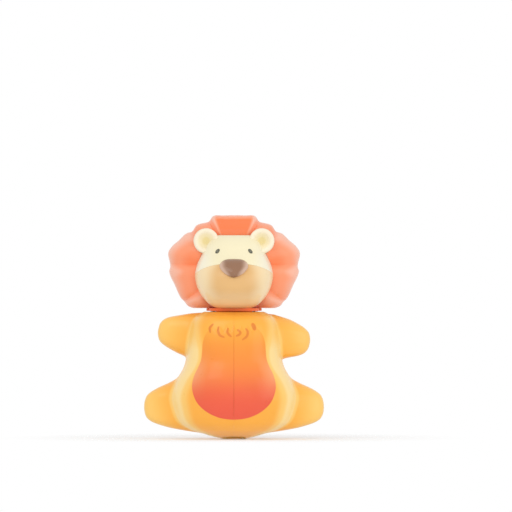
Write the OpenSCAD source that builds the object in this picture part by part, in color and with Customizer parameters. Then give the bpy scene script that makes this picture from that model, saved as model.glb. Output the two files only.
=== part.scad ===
/* [Body] */
// Width across the hips
torso_w = 45.2; // [43:0.1:50]
// Span across the two hands
arm_span = 54.4; // [50:0.1:60]
// Span across the two feet
leg_span = 64.2; // [60:0.1:70]
// Thickness of an arm, front to back
arm_t = 12.4; // [9:0.1:14]
// Thickness of a leg, front to back
leg_t = 14.0; // [10:0.1:15]
// How much higher the left arm is carried than the right one
arm_lift = 0.5; // [0:0.1:1]
// Wall of the moulded shells
wall = 1.8; // [1.4:0.1:2.2]
// Gap at the seam between the two halves
seam_gap = 0.2; // [0.1:0.05:0.4]
// Room between the front of the liner and the belly's skin
belly_room = 7.4; // [6.5:0.1:10]
// Height that the belly pad stands proud of the torso
pad_rise = 0.4; // [0.2:0.1:0.9]
// Depth of the fur tufts along the top of the belly pad
tuft_drop = 2.2; // [0:0.1:2.6]

/* [Brush] */
// Width of the room for the brush's head
brush_w = 15.2; // [13:0.1:16]
// Depth of that room, for the head and its bristles
brush_d = 16.5; // [14:0.1:18]
// Height of that room, which the body's height follows
brush_h = 32; // [28:0.5:34]
// Height of the room's floor above the foot
brush_floor = 7.2; // [7:0.1:7.6]
// Radius of the room's front corners
room_corner = 4; // [3:0.1:6]
// Radius of the way out for the brush's neck
neck_r = 4.6; // [3.8:0.1:5.2]
// Wall of the liners
liner_t = 1.2; // [1:0.1:1.4]

/* [Hinge] */
// Distance from the figure's centre to each hinge pin, which is the gears' pitch radius
pivot_x = 7.5; // [7.4:0.05:7.8]
// Distance from the back plate's face to the pins
pivot_back = 7.9; // [7.8:0.1:9]
// Radius of a hinge pin
pin_r = 1; // [0.8:0.05:1.2]
// Radius of a hinge barrel
barrel_r = 4; // [3.6:0.1:4.1]
// Running clearance of a pin in its barrel
run = 0.05; // [0.02:0.01:0.1]
// Thickness of the gear sectors
gear_t = 2.2; // [1.6:0.1:2.4]

/* [Head] */
// Width across the mane
mane_w = 47.2; // [45:0.1:52]
// Drop of the mane below its centre
mane_drop = 15.8; // [15.4:0.1:18]
// Width across the cheeks
face_w = 27.8; // [26:0.1:29]
// Height of the face
face_h = 26; // [25:0.1:26.5]
// How far the muzzle stands out of the mane
face_out = 17; // [14:0.1:20]
// Radius of an ear
ear_r = 4.5; // [4:0.1:5]
// Width of the nose
nose_w = 10.2; // [8:0.1:11]
// Height of the nose
nose_h = 6.8; // [6:0.1:7.5]
// Distance between the eyes' centres
eye_gap = 11.7; // [10:0.1:13]
// Length of an eye
eye_len = 1.9; // [1.6:0.1:2.6]

/* [Suction cup] */
// Distance from the wall to the figure's back
wall_gap = 7.6; // [7:0.1:10]
// Radius of the cup
cup_r = 14; // [12:0.5:15]
// Thickness of the cup's skin
cup_t = 1.3; // [1:0.1:1.6]
// Radius of the cup's stem
stem_r = 3; // [2.6:0.1:3.2]
// Radius of the stem's knob
knob_r = 4.4; // [4:0.1:4.8]

/* [Hidden] */
$fn = 48;

// Clearances
slip = 0.3;
fit = 0.1;
eps = 0.02;
crown_gap = 0.7;
over = 20;

// Depths, from the wall at 0 to the front at minus
back_y = -wall_gap;
core_fore = 19.4;
core_y = back_y - core_fore;
back_set = 2.2;
plate_t = 1.4;
plate_y = back_y - plate_t;
pivot_y = back_y - pivot_back;
tray_back = pivot_y - barrel_r - slip;
room_back = tray_back - liner_t;
room_front = room_back - brush_d;
tray_front = room_front - liner_t;
belly_y = tray_front - belly_room;
belly_reach = core_y - belly_y;
back_reach = back_y - back_set - core_y;

// Heights above the foot
room_top = brush_floor + brush_h;
tray_top = room_top + liner_t;
gear_z = tray_top + slip;
body_h = gear_z + gear_t + crown_gap + wall;
deck_z = body_h + slip;
deck_t = 1;
head_foot = deck_z + deck_t;
head_z = head_foot + mane_drop;
lug_z = 4.6;
lug_t = 2.8;
barrel_z = lug_z + lug_t + slip;
half_seam = seam_gap / 2;
bay_x = pivot_x + barrel_r + slip;
bay_front = tray_back + slip;
room_x = brush_w / 2;
tray_x = room_x + liner_t;
neck_y = (room_back + room_front) / 2;

// Share of the body's height, then of the torso's half width, belly reach and back reach
TORSO = [[0, 0.15, 0.16, 0.24], [0.018, 0.32, 0.33, 0.45], [0.042, 0.48, 0.5, 0.64],
    [0.075, 0.69, 0.68, 0.8], [0.132, 0.87, 0.84, 0.94], [0.234, 0.965, 0.96, 1], [0.342, 1, 1, 1],
    [0.464, 0.91, 0.975, 1], [0.55, 0.81, 0.93, 1], [0.62, 0.765, 0.885, 1], [0.77, 0.745, 0.84, 1],
    [0.905, 0.69, 0.79, 1], [0.965, 0.61, 0.7, 0.95], [1, 0.48, 0.53, 0.82]];
torso_front_power = 2.4;
torso_back_power = 3;
// Share of a limb's own height, then of its reach from the centre
ARM = [[0, 0.5], [0.035, 0.65], [0.1, 0.86], [0.2, 0.955], [0.33, 0.99], [0.46, 1], [0.6, 0.98],
    [0.7, 0.925], [0.8, 0.83], [0.9, 0.705], [1, 0.5]];
LEG = [[0, 0.28], [0.047, 0.51], [0.1, 0.7], [0.152, 0.822], [0.205, 0.91], [0.27, 0.965], [0.36, 0.992],
    [0.47, 1], [0.6, 0.988], [0.7, 0.95], [0.8, 0.855], [0.88, 0.743], [0.94, 0.66], [1, 0.6]];
arm_drop = 17.2;
arm_foot = body_h - arm_drop;
arm_h = 16.4;
leg_foot = 1.9;
leg_h = 20.4;
limb_power = 2.6;
blend_power = 14;
// Share of the pad's height, then of its half width
PAD = [[0, 0.12], [0.024, 0.38], [0.068, 0.6], [0.142, 0.81], [0.23, 0.94], [0.35, 1], [0.467, 0.945],
    [0.556, 0.85], [0.63, 0.785], [0.72, 0.76], [0.82, 0.74], [0.91, 0.665], [1, 0.49]];
pad_foot = 7.2;
pad_drop = 4.6;
pad_h = body_h - pad_drop - pad_foot;
pad_w = 29.8;
pad_sink = 0.9;
// Width of one tuft
tuft_w = 2.5;
// Angle in the front view and share of the mane's half width, from the bottom up one side
MANE = [[-90, 0.675], [-60, 0.78], [-47, 0.913], [-42, 0.946], [-37.5, 0.943], [-33, 0.956], [-20, 0.953],
    [-7, 0.99], [-2.5, 0.968], [1, 0.972], [9.5, 1.012], [16, 0.976], [23, 0.911], [32.5, 0.86], [38, 0.804],
    [46, 0.815], [59, 0.747], [66.5, 0.792], [78, 0.751], [90, 0.737]];
// Angles of the creases between the lobes
VALLEYS = [-118, -62, -37, -0.5, 38, 59, 121];
mane_fore = 5;
mane_front = core_y - mane_fore;
rim_aft = 6;
mane_rim = core_y + rim_aft;
cover_t = 5.4;
mane_back = back_y - cover_t;
lobe_rise = 1.3;
rear_step = 0.5;
// Share of the face's height, then of its half width and of its reach
FACE = [[0, 0.42, 0.3], [0.02, 0.52, 0.46], [0.06, 0.64, 0.64], [0.13, 0.77, 0.83], [0.24, 0.905, 0.965],
    [0.36, 0.98, 1], [0.47, 1, 0.975], [0.6, 0.945, 0.87], [0.69, 0.87, 0.77], [0.78, 0.79, 0.65],
    [0.88, 0.72, 0.52], [0.96, 0.62, 0.36], [1, 0.5, 0.22]];
face_power = 2.3;
face_foot = head_foot;
muzzle_up = 15.8;
muzzle_z = face_foot + muzzle_up;
muzzle_fall = 3.4;
ear_x = 9.9;
ear_up = 24;
ear_z = face_foot + ear_up;
nose_up = 14.2;
nose_z = face_foot + nose_up;
eye_up = 20.4;
eye_z = face_foot + eye_up;

// Fixings
screw_r = 1;
head_r = 1.9;
head_t = 1.2;
slot_len = 2.4;
slot_w = 0.5;
slot_t = 0.7;
screw_len = 6;
screw_reach = 14;
screw_spare = 2.6;
tab_screw_len = 5;
boss_r = 2.4;
boss_t = 1.4;
peg_len = 3;
joint = 0.1;
// Places of the screws: in a liner's side wall, and across and up from the head's centre
screw_y = (room_front + neck_y) / 2;
screw_zs = [brush_floor + 6, room_top - 6];
HEAD_SCREWS = [[0, 9], [-8.4, -3.1], [8.4, -3.1]];
TAB_SCREWS = [[-3.4, -8.4], [3.4, -8.4]];

// Hinge, gears and the frame behind them
tube_z = wall + 2.1;
web_t = 5;
gear_teeth = 20;
gear_play = 0.5;
gear_tip = 0.68;
gear_root = 0.9;
spine_w = 13;
rib_t = 2.4;
rib_d = 2.8;
tab_t = 1.4;
tab_drop = 6;
tab_top = head_z - tab_drop;
lug_r = 3.7;
lug_floor = 0.8;
neck_w = 17.8;
neck_fore = 7;
neck_front = core_y - neck_fore;
neck_pin_r = 2.4;
pin_edge = 0.3;
cover_step = 0.6;
back_r = mane_drop - cover_step;
spigot_t = 1.4;
spigot_r = back_r - spigot_t;
spigot_d = 2;
spigot_wall = 1.2;
cover_round = 4;
cover_bevel = 1.6;
boss_y = mane_back - spigot_d;
seat_t = 1.6;
face_seat = mane_front + seat_t;
face_wall = 1.6;
ear_t = 4.8;
nose_peg_z = nose_z - 1;
nose_peg_r = 1.2;
nose_out = 2.3;
eye_r = 0.55;
eye_lean = 45;
eye_gap_y = 0.06;
eye_peg_r = 0.45;
cup_lip = 1.2;
cup_edge = 0.3;
cup_set = 3.6;
cup_foot_r = 5.5;

// Shape tools
function clamp(v, low, high) = min(max(v, low), high);
function row(table, s, i = 0) = i >= len(table) - 2 || s <= table[i + 1][0] ? i : row(table, s, i + 1);
function slope(table, c, i) =
    let (a = max(i - 1, 0), b = min(i + 1, len(table) - 1))
    (table[b][c] - table[a][c]) / (table[b][0] - table[a][0]);
// A smooth curve through column c of a table whose first column is the place
function through(table, c, place) =
    let (s = clamp(place, table[0][0], table[len(table) - 1][0]), i = row(table, s),
        h = table[i + 1][0] - table[i][0], t = (s - table[i][0]) / h)
    (2 * t ^ 3 - 3 * t ^ 2 + 1) * table[i][c] + (t ^ 3 - 2 * t ^ 2 + t) * h * slope(table, c, i)
    + (3 * t ^ 2 - 2 * t ^ 3) * table[i + 1][c] + (t ^ 3 - t ^ 2) * h * slope(table, c, i + 1);
// Distance to the edge of a rounded box of half sizes a and b, in the direction of angle q
function oval(a, b, q, power) = (pow(abs(cos(q)) / a, power) + pow(abs(sin(q)) / b, power)) ^ (-1 / power);
function dome(s, power) = pow(max(1 - pow(abs(2 * s - 1), power), 0), 1 / power);

// The torso and limbs at height z and angle q, with -90 at the front
function limb(table, z, foot, height, reach, thick, q, turned) =
    let (s = (z - foot) / height)
    s <= 0 || s >= 1 ? 0 :
    oval(reach * through(table, 1, turned ? 1 - s : s), max(thick / 2 * dome(s, limb_power), eps),
        q, limb_power);
function torso(z, q, inset = 0) =
    let (s = z / body_h)
    oval(torso_w / 2 * through(TORSO, 1, s) - inset,
        (q < 0 ? belly_reach * through(TORSO, 2, s) : back_reach * through(TORSO, 3, s)) - inset,
        q, q < 0 ? torso_front_power : torso_back_power);
function body_r(z, q, side) =
    let (t = torso(z, q),
        a = limb(ARM, z, arm_foot + (side < 0 ? arm_lift : 0), arm_h, arm_span / 2, arm_t, q, side < 0),
        l = limb(LEG, z, leg_foot, leg_h, leg_span / 2, leg_t, q, false))
    pow(pow(t, blend_power) + pow(a, blend_power) + pow(l, blend_power), 1 / blend_power);
function limb_room(table, z, foot, height, reach, thick, q, turned) =
    let (s = (z - foot - wall) / (height - 2 * wall))
    s <= 0 || s >= 1 ? 0 :
    oval(reach * through(table, 1, turned ? 1 - s : s) - 1.6 * wall,
        max((thick / 2 - wall) * dome(s, limb_power), eps), q, limb_power);
function room_r(z, q, side) =
    let (t = min(torso(z - wall, q, wall), torso(z + wall, q, wall)),
        a = limb_room(ARM, z, arm_foot + (side < 0 ? arm_lift : 0), arm_h, arm_span / 2, arm_t, q, side < 0),
        l = limb_room(LEG, z, leg_foot, leg_h, leg_span / 2, leg_t, q, false))
    max(t, a, l);
// Depth of the torso's front skin at x and z
function skin_y(x, z, inset = 0) =
    let (s = z / body_h, a = torso_w / 2 * through(TORSO, 1, s) - inset,
        f = belly_reach * through(TORSO, 2, s) - inset)
    core_y - f * pow(max(1 - pow(min(abs(x) / a, 1), torso_front_power), 0), 1 / torso_front_power);
function spread(i, n) = let (s = 2 * i / n - 1) 90 * (0.5 * s + 0.5 * s ^ 3);
function waves(i, n) = (1 - cos(180 * i / n)) / 2;

// Stacks closed rings of points into a solid, with a fan on its first and last ring
module stack(rings, low_centre, high_centre) {
    n = len(rings[0]);
    m = len(rings);
    polyhedron(
        points = [for (r = rings) each r, low_centre, high_centre],
        faces = [
            for (i = [0 : m - 2], j = [0 : n - 1]) each
                let (k = (j + 1) % n, a = i * n + j, b = i * n + k, c = a + n, d = b + n)
                [[a, c, d], [a, d, b]],
            for (j = [0 : n - 1]) [m * n, j, (j + 1) % n],
            for (j = [0 : n - 1]) [m * n + 1, (m - 1) * n + (j + 1) % n, (m - 1) * n + j]]);
}

// One half of the figure's body, solid, with its seam at x = 0 and the arm of the given side
module half_form(side, levels = 46, steps = 34) {
    stack([for (i = [0 : levels]) let (z = body_h * waves(i, levels)) [for (j = [0 : steps])
            let (q = spread(j, steps), r = body_r(z, q, side))
            [j == 0 || j == steps ? half_seam : max(r * cos(q), half_seam + eps * j),
                core_y + r * sin(q), z]]],
        [2 * half_seam, core_y, 0], [2 * half_seam, core_y, body_h]);
}
// The hollow inside that half
module half_room(side, levels = 24, steps = 22) {
    stack([for (i = [0 : levels]) let (z = wall + (body_h - 2 * wall) * waves(i, levels))
            [for (j = [0 : steps]) let (q = spread(j, steps), r = room_r(z, q, side))
            [j == 0 || j == steps ? -1 : max(r * cos(q), half_seam), core_y + r * sin(q), z]]],
        [0, core_y, wall], [0, core_y, body_h - wall]);
}
// The torso's hollow alone: its half width and back reach at height z, and its half width at depth y
function hollow_half(z) =
    torso_w / 2 * min(through(TORSO, 1, (z - wall) / body_h), through(TORSO, 1, (z + wall) / body_h)) - wall;
function hollow_back(z) =
    back_reach * min(through(TORSO, 3, (z - wall) / body_h), through(TORSO, 3, (z + wall) / body_h)) - wall;
function hollow_front(z) =
    belly_reach * min(through(TORSO, 2, (z - wall) / body_h), through(TORSO, 2, (z + wall) / body_h)) - wall;
function hollow_x(z, y) =
    let (reach = y < core_y ? hollow_front(z) : hollow_back(z),
        power = y < core_y ? torso_front_power : torso_back_power)
    hollow_half(z) * pow(max(1 - pow(min(abs(y - core_y) / reach, 1), power), 0), 1 / power);

// Lifts what is built up from the foot so that the suction cup's centre is the origin
module figure() { translate([0, 0, -head_z]) children(); }
// Points a shape forward from the given place on the figure
module forward(x, y, z) { translate([x, y, z]) rotate([90, 0, 0]) children(); }
// Points a shape sideways, away from the seam
module outward(x, y, z) { translate([x, y, z]) rotate([0, 90, 0]) children(); }

// The notch in the back of a half, round its hinge, which leaves a round heel under the hinge's foot
module bay() {
    translate([-1, bay_front, lug_z - slip]) cube([bay_x + 1, -bay_front, body_h]);
    translate([0, 0, -1]) linear_extrude(lug_z - slip + 1.01) difference() {
        translate([-1, bay_front]) square([bay_x + 1, -bay_front]);
        translate([pivot_x, pivot_y]) circle(pivot_x - slip);
    }
}
module shell(side) {
    difference() {
        union() {
            difference() {
                half_form(side);
                difference() {
                    half_room(side);
                    translate([-2, bay_front, -1]) cube([bay_x + wall + 2, -bay_front, body_h + 2]);
                }
            }
            for (z = screw_zs) outward(tray_x + boss_t, screw_y, z)
                cylinder(h = hollow_x(z, screw_y) + wall / 2 - tray_x - boss_t, r = boss_r);
        }
        bay();
        translate([0, neck_y, -1]) cylinder(h = tube_z + 1, r = neck_r);
        for (z = screw_zs) outward(tray_x + boss_t - 1, screw_y, z)
            cylinder(h = screw_len - boss_t + 1, r = screw_r);
        belly_pad(fit, 2);
    }
}
// The belly's raised pad, from the seam to its edge
module belly_pad(grow = 0, proud = 0, levels = 20, steps = 14) {
    stack([for (i = [0 : levels]) let (v = waves(i, levels), z0 = pad_foot - grow + (pad_h + 2 * grow) * v,
            w = pad_w / 2 * through(PAD, 1, v) + grow)
        concat(
            [for (j = [0 : steps]) pad_point(j / steps, v, z0, w, false, proud)],
            [for (j = [steps : -1 : 0]) pad_point(j / steps, v, z0, w, true, proud)])],
        pad_mid(0, grow), pad_mid(1, grow));
}
function pad_mid(v, grow) =
    let (z = pad_foot - grow + (pad_h + 2 * grow) * v, x = pad_w / 4 * through(PAD, 1, v))
    [x, skin_y(x, z) + pad_sink / 2, z];
// How far a tuft hangs down into the pad's top edge at x, as a share of its depth
function tuft(x) = x > 3 * tuft_w ? 0 : 1 - abs(2 * (x / tuft_w - floor(x / tuft_w)) - 1);
function pad_point(u, v, level, w, back, proud) =
    let (x = half_seam + u * (w - half_seam), z = level - tuft_drop * tuft(x) * v ^ 10)
    [x, skin_y(x, z) + (back ? pad_sink : -proud - pad_rise * (1 - u ^ 6) * (1 - (2 * v - 1) ^ 8)), z];

// The box that lines the room for the brush's head, with its seam flange, hinge barrel and gear
module liner(phase) {
    difference() {
        union() {
            seam_flange();
            back_plate();
            translate([0, 0, brush_floor - liner_t]) linear_extrude(tray_top - brush_floor + liner_t)
                room_plan(liner_t, half_seam);
            translate([0, neck_y, tube_z]) intersection() {
                cylinder(h = brush_floor - tube_z, r = neck_r + liner_t);
                translate([half_seam, -over, 0]) cube([over, 2 * over, 2 * over]);
            }
            for (z = screw_zs) outward(tray_x - 1, screw_y, z) cylinder(h = boss_t + 1, r = boss_r + 0.6);
            translate([pivot_x, pivot_y, barrel_z]) cylinder(h = gear_z + gear_t - barrel_z, r = barrel_r);
            translate([pivot_x - web_t / 2, tray_back - liner_t / 2, barrel_z])
                cube([web_t, pivot_y - tray_back, tray_top - barrel_z]);
            translate([pivot_x, pivot_y, gear_z]) linear_extrude(gear_t) gear(phase);
        }
        translate([0, 0, brush_floor]) linear_extrude(brush_h) room_plan(0, -1);
        translate([0, neck_y, -1]) cylinder(h = brush_floor + 2, r = neck_r);
        translate([pivot_x, pivot_y, 0]) cylinder(h = body_h, r = pin_r + run);
        for (z = screw_zs) {
            outward(room_x - 1, screw_y, z) cylinder(h = 1 + head_t, r = head_r + fit);
            outward(room_x, screw_y, z) cylinder(h = 10, r = screw_r + fit);
        }
    }
}
// The room's plan from x = from outwards, grown by the liner's wall where it is asked for
module room_plan(grow, from) {
    corner = room_corner + grow;
    wide = room_x + grow;
    front = room_front - grow;
    translate([from, front + corner]) square([wide - from, room_back + grow - front - corner]);
    translate([from, front]) square([wide - corner - from, corner + 1]);
    intersection() {
        translate([wide - corner, front + corner]) circle(corner);
        translate([from, front - 1]) square([wide, corner + 2]);
    }
}
// The flat wall at the seam that closes the shell's hollow round the room
module seam_flange() {
    low = wall + fit;
    high = body_h - wall - fit;
    n = 16;
    zs = [for (i = [0 : n]) low + (high - low) * waves(i, n)];
    translate([half_seam + liner_t, 0, 0]) rotate([0, -90, 0]) linear_extrude(liner_t) polygon(concat(
        [for (z = zs) [z, core_y - hollow_front(z) + slip]],
        [for (i = [n : -1 : 0]) let (z = zs[i]) [z, min(tray_back, core_y + hollow_back(z) - slip)]]));
}
// The wall behind the room, which closes the hollow towards the hinge
module back_plate() {
    n = 12;
    low = wall + 2.4;
    high = body_h - wall - fit;
    zs = [for (i = [0 : n]) low + (high - low) * waves(i, n)];
    translate([0, tray_back, 0]) rotate([90, 0, 0]) linear_extrude(liner_t) polygon(concat(
        [for (z = zs) [half_seam, z]],
        [for (i = [n : -1 : 0]) let (z = zs[i])
            [max(min(bay_x + wall, hollow_x(z, tray_back)) - slip, 1), z]]));
}
// A sector of an involute gear whose teeth point at the other half's gear
gear_base = pivot_x * cos(20);
function involute(r) = let (a = acos(gear_base / max(r, gear_base))) tan(a) * 180 / PI - a;
function tooth_half(r) = 90 / gear_teeth - gear_play + involute(pivot_x) - involute(r);
module gear(phase) {
    pitch = 360 / gear_teeth;
    tip = pivot_x + gear_tip;
    root = pivot_x - gear_root;
    rs = [for (i = [0 : 5]) root + (tip - root) * i / 5];
    polygon(concat([[0, 0]], [for (k = [2 : -1 : -1]) let (c = 180 - pitch * (k + phase))
        each concat([for (r = rs) let (q = c - tooth_half(r)) r * [cos(q), sin(q)]],
            [for (i = [5 : -1 : 0]) let (r = rs[i], q = c + tooth_half(r)) r * [cos(q), sin(q)]])]));
}
module cross_screw(length) {
    difference() {
        union() {
            cylinder(h = head_t, r = head_r);
            cylinder(h = length, r = screw_r);
        }
        for (turn = [0, 90]) rotate([0, 0, turn]) translate([-slot_len / 2, -slot_w / 2, -1])
            cube([slot_len, slot_w, 1 + slot_t]);
    }
}
module liner_screws() { for (z = screw_zs) outward(room_x, screw_y, z) cross_screw(screw_len); }

// The mane's outline in the front view: its radius at angle q, which runs from the bottom up either side
function mane_r(q) = mane_w / 2 * through(MANE, 1, q);
// How full a lobe is at angle q, from 0 in a crease to 1 between two
function lobe(q, i = 0) =
    q > VALLEYS[i + 1] ? lobe(q, i + 1) :
    let (share = (q - VALLEYS[i]) / (VALLEYS[i + 1] - VALLEYS[i])) pow(max(sin(180 * share), 0), 0.7);
// A point of the mane's skin at angle q of the front view and at a turn of its section, which runs
// from -90 in front to 90 behind
function mane_point(q, turn, left) =
    let (c = pow(cos(turn), 0.9), s = pow(abs(sin(turn)), 0.95), r0 = mane_r(q),
        rear = back_r + rear_step + 0.25 * (r0 - back_r), r = turn < 0 ? r0 * c : rear + (r0 - rear) * c,
        puff = lobe_rise * (lobe(q) - 0.6) * pow(cos(turn), 0.5) * (turn < 0 ? 1 : 0.5 - turn / 180),
        y = mane_rim + s * ((turn < 0 ? mane_front : mane_back) - mane_rim) - puff)
    [(left ? -1 : 1) * r * cos(q), min(y, mane_back), head_z + max(r * sin(q), -mane_drop)];
module mane_form() {
    angles = [for (i = [0 : len(MANE) - 2], k = [0 : 2]) MANE[i][0] + (MANE[i + 1][0] - MANE[i][0]) * k / 3];
    n = len(angles);
    stack([for (turn = [90, 70, 50, 30, 14, 3, -4, -11, -19, -27, -35, -43, -52, -62]) concat(
        [for (q = angles) mane_point(q, turn, false)],
        [for (i = [n : -1 : 1]) mane_point(i == n ? 90 : angles[i], turn, true)])],
        [0, mane_back, head_z], [0, mane_front, head_z]);
}
// The same point drawn in by the mane's wall
function room_point(q, turn, left) =
    let (p = mane_point(q, turn, left), r = norm([p[0], p[2] - head_z]), k = (r - wall) / r)
    [p[0] * k, max(min(p[1], mane_back - wall), face_seat + wall), head_z + (p[2] - head_z) * k];
module mane_room() {
    angles = [-90 : 9 : 81];
    flipped = [90 : -9 : -81];
    stack([for (turn = [88, 60, 30, 4, -12, -28, -44]) concat(
        [for (q = angles) room_point(q, turn, false)],
        [for (q = flipped) room_point(q, turn, true)])],
        [0, mane_back - wall, head_z], [0, face_seat + wall, head_z]);
}
// The pocket in the mane's front that the face and ears are seated in
module face_pocket() {
    n = 26;
    side = [for (i = [0 : n]) let (z = face_foot + face_h * waves(i, n)) [face_half(z) + fit, z]];
    forward(0, face_seat, 0) linear_extrude(over) {
        polygon(concat([[side[0][0], face_foot - 2]], side,
            [for (i = [n : -1 : 0]) [-side[i][0], side[i][1]]], [[-side[0][0], face_foot - 2]]));
        for (side = [-1, 1]) translate([side * ear_x, ear_z]) circle(ear_r + fit);
    }
}
module mane() color("coral") figure() {
    difference() {
        union() {
            difference() {
                mane_form();
                mane_room();
            }
            for (at = HEAD_SCREWS) forward(at[0], boss_y, head_z + at[1])
                cylinder(h = boss_y - face_seat - wall / 2, r = boss_r);
        }
        forward(0, 0, head_z) cylinder(h = wall - mane_back + 1, r = spigot_r + fit);
        for (at = HEAD_SCREWS) forward(at[0], boss_y + 1, head_z + at[1])
            cylinder(h = boss_y + 1 - back_y - head_t + screw_reach + screw_spare, r = screw_r);
        face_pocket();
    }
}

// The face: its half width, its reach from the seat and the depth of its front skin
function face_half(z) = face_w / 2 * through(FACE, 1, (z - face_foot) / face_h);
function face_reach(z) = face_out * through(FACE, 2, (z - face_foot) / face_h);
function face_y(x, z) =
    let (share = min(abs(x) / face_half(z), 1))
    face_seat - face_reach(z) * pow(max(1 - pow(share, face_power), 0), 1 / face_power);
// The face's solid form, drawn in by a wall where it is asked for
module face_form(inset = 0, levels = 26, steps = 26) {
    stack([for (i = [0 : levels]) let (z = face_foot + inset + (face_h - 2 * inset) * waves(i, levels),
            a = min(face_half(z - inset), face_half(z + inset)) - inset,
            b = min(face_reach(z - inset), face_reach(z + inset)) - inset)
        [for (j = [0 : steps]) let (q = 180 + 180 * j / steps, r = oval(a, b, q, face_power))
            [r * cos(q), (inset > 0 && (j == 0 || j == steps) ? 1 : 0) + face_seat + r * sin(q), z]]],
        [0, face_seat - 0.1, face_foot + inset], [0, face_seat - 0.1, face_foot + face_h - inset]);
}
// Everything below the line where the muzzle's colour begins, lowered by half the joint
module muzzle_side(joint) {
    n = 16;
    forward(0, over, 0) linear_extrude(5 * over) polygon(concat(
        [[-over, face_foot - over], [over, face_foot - over]],
        [for (i = [n : -1 : -n]) let (x = i / n * (face_w / 2 + 1))
            [x, muzzle_z - muzzle_fall * pow(abs(x) / (face_w / 2), 3) - joint]]));
}
module ear() {
    rotate_extrude($fn = 64) polygon([[0, 0], [ear_r, 0], [ear_r, ear_t - 0.9], [ear_r - 0.2, ear_t - 0.35],
        [ear_r - 0.7, ear_t], [ear_r - 1.2, ear_t - 0.15], [ear_r - 1.9, ear_t - 0.8], [ear_r - 3, ear_t - 1.3],
        [0, ear_t - 1.5]]);
}
module face() color("cornsilk") figure() {
    difference() {
        union() {
            face_form();
            for (side = [-1, 1]) forward(side * ear_x, face_seat, ear_z) ear();
        }
        face_form(face_wall, 14, 16);
        muzzle_side(-joint / 2);
        for (side = [-1, 1]) forward(side * eye_gap / 2, face_seat, eye_z)
            cylinder(h = 2 * over, r = eye_peg_r + run);
    }
}
module muzzle() color("burlywood") figure() {
    difference() {
        intersection() {
            face_form();
            muzzle_side(joint / 2);
        }
        face_form(face_wall, 14, 16);
        forward(0, face_seat, nose_peg_z) cylinder(h = 2 * over, r = nose_peg_r + run);
    }
}
// A ball of radius r whose front stands out of the face's skin by the nose's own height, at x and up
module nose_ball(x, up, r) {
    z = nose_z + up;
    translate([x, face_y(x, z) + r - nose_out, z]) sphere(r, $fn = 28);
}
module nose() color("rosybrown") figure() {
    corner = nose_h * 0.31;
    tip = nose_h * 0.4;
    difference() {
        hull() {
            for (side = [-1, 1]) nose_ball(side * (nose_w / 2 - corner), nose_h / 2 - corner - 0.35, corner);
            nose_ball(0, nose_h / 2 - corner, corner);
            nose_ball(0, tip - nose_h / 2, tip);
        }
        face_form();
    }
    forward(0, face_y(0, nose_peg_z) + peg_len, nose_peg_z) cylinder(h = peg_len + 0.5, r = nose_peg_r);
}
module eye() {
    x = eye_gap / 2;
    near = 0.5;
    turn = atan2(face_y(x + near, eye_z) - face_y(x - near, eye_z), 2 * near);
    rise = atan2(face_y(x, eye_z + near) - face_y(x, eye_z - near), 2 * near);
    half = eye_len / 2 - eye_r;
    translate([x, face_y(x, eye_z) - eye_gap_y, eye_z]) rotate([-rise, 0, turn]) difference() {
        rotate([0, -eye_lean, 0]) hull() for (end = [-half, half]) translate([0, 0, end])
            sphere(eye_r, $fn = 20);
        translate([-5, 0, -5]) cube(10);
    }
    forward(x, face_y(x, eye_z) + peg_len, eye_z) cylinder(h = peg_len + 0.2, r = eye_peg_r);
}
module eye_left() color("dimgray") figure() mirror([1, 0, 0]) eye();
module eye_right() color("dimgray") figure() eye();

// The cover on the back of the head, which the suction cup is buttoned into
module head_back() color("lightsalmon") figure() {
    difference() {
        union() {
            forward(0, 0, head_z) rotate_extrude($fn = 96) polygon([[0, wall_gap],
                [back_r - cover_round, wall_gap], [back_r - 0.5 * cover_round, wall_gap + 0.2 * cover_round],
                [back_r - 0.15 * cover_round, wall_gap + 0.575 * cover_round],
                [back_r, wall_gap + 1.05 * cover_round], [back_r, -mane_back], [spigot_r, -mane_back],
                [spigot_r, spigot_d - mane_back], [spigot_r - spigot_wall, spigot_d - mane_back],
                [spigot_r - cover_bevel, wall_gap + plate_t + cover_bevel],
                [spigot_r - 2 * cover_bevel, wall_gap + plate_t], [0, wall_gap + plate_t]]);
            for (at = HEAD_SCREWS) forward(at[0], plate_y + 0.2, head_z + at[1])
                cylinder(h = plate_y + 0.2 - boss_y, r = boss_r);
        }
        forward(0, 0, head_z) cylinder(h = over, r = stem_r + fit);
        translate([-spine_w / 2 - fit, -over, deck_z])
            cube([spine_w + 2 * fit, over + plate_y, tab_top + slip - deck_z]);
        for (at = concat(HEAD_SCREWS, TAB_SCREWS)) forward(at[0], 0, head_z + at[1])
            cylinder(h = over, r = screw_r + fit);
    }
}
module head_screws() color("silver") figure()
    for (at = HEAD_SCREWS) forward(at[0], back_y + head_t, head_z + at[1]) cross_screw(screw_reach);
module tab_screws() color("silver") figure()
    for (at = TAB_SCREWS) forward(at[0], back_y + head_t, head_z + at[1]) cross_screw(tab_screw_len);
module suction_cup() color("gainsboro") figure() {
    n = 10;
    hollow = wall_gap - cup_set;
    lip = cup_r - cup_lip;
    forward(0, 0, head_z) rotate_extrude($fn = 96) polygon(concat(
        [for (i = [0 : n]) let (s = i / n) [lip * s, hollow * (1 - s * s)]], [[cup_r - cup_edge, 0]],
        [for (i = [0 : n]) let (s = 1 - i / n, r = cup_foot_r + (cup_r - cup_foot_r) * s)
            [r, 0.5 + (hollow + cup_t - 0.5) * (1 - pow(r / cup_r, 2))]],
        [[cup_foot_r, wall_gap], [stem_r, wall_gap], [stem_r, wall_gap + plate_t + fit],
            [knob_r, wall_gap + plate_t + fit], [knob_r, wall_gap + plate_t + 1.2],
            [stem_r - 0.6, wall_gap + plate_t + 3], [0, wall_gap + plate_t + 3]]));
}

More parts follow.
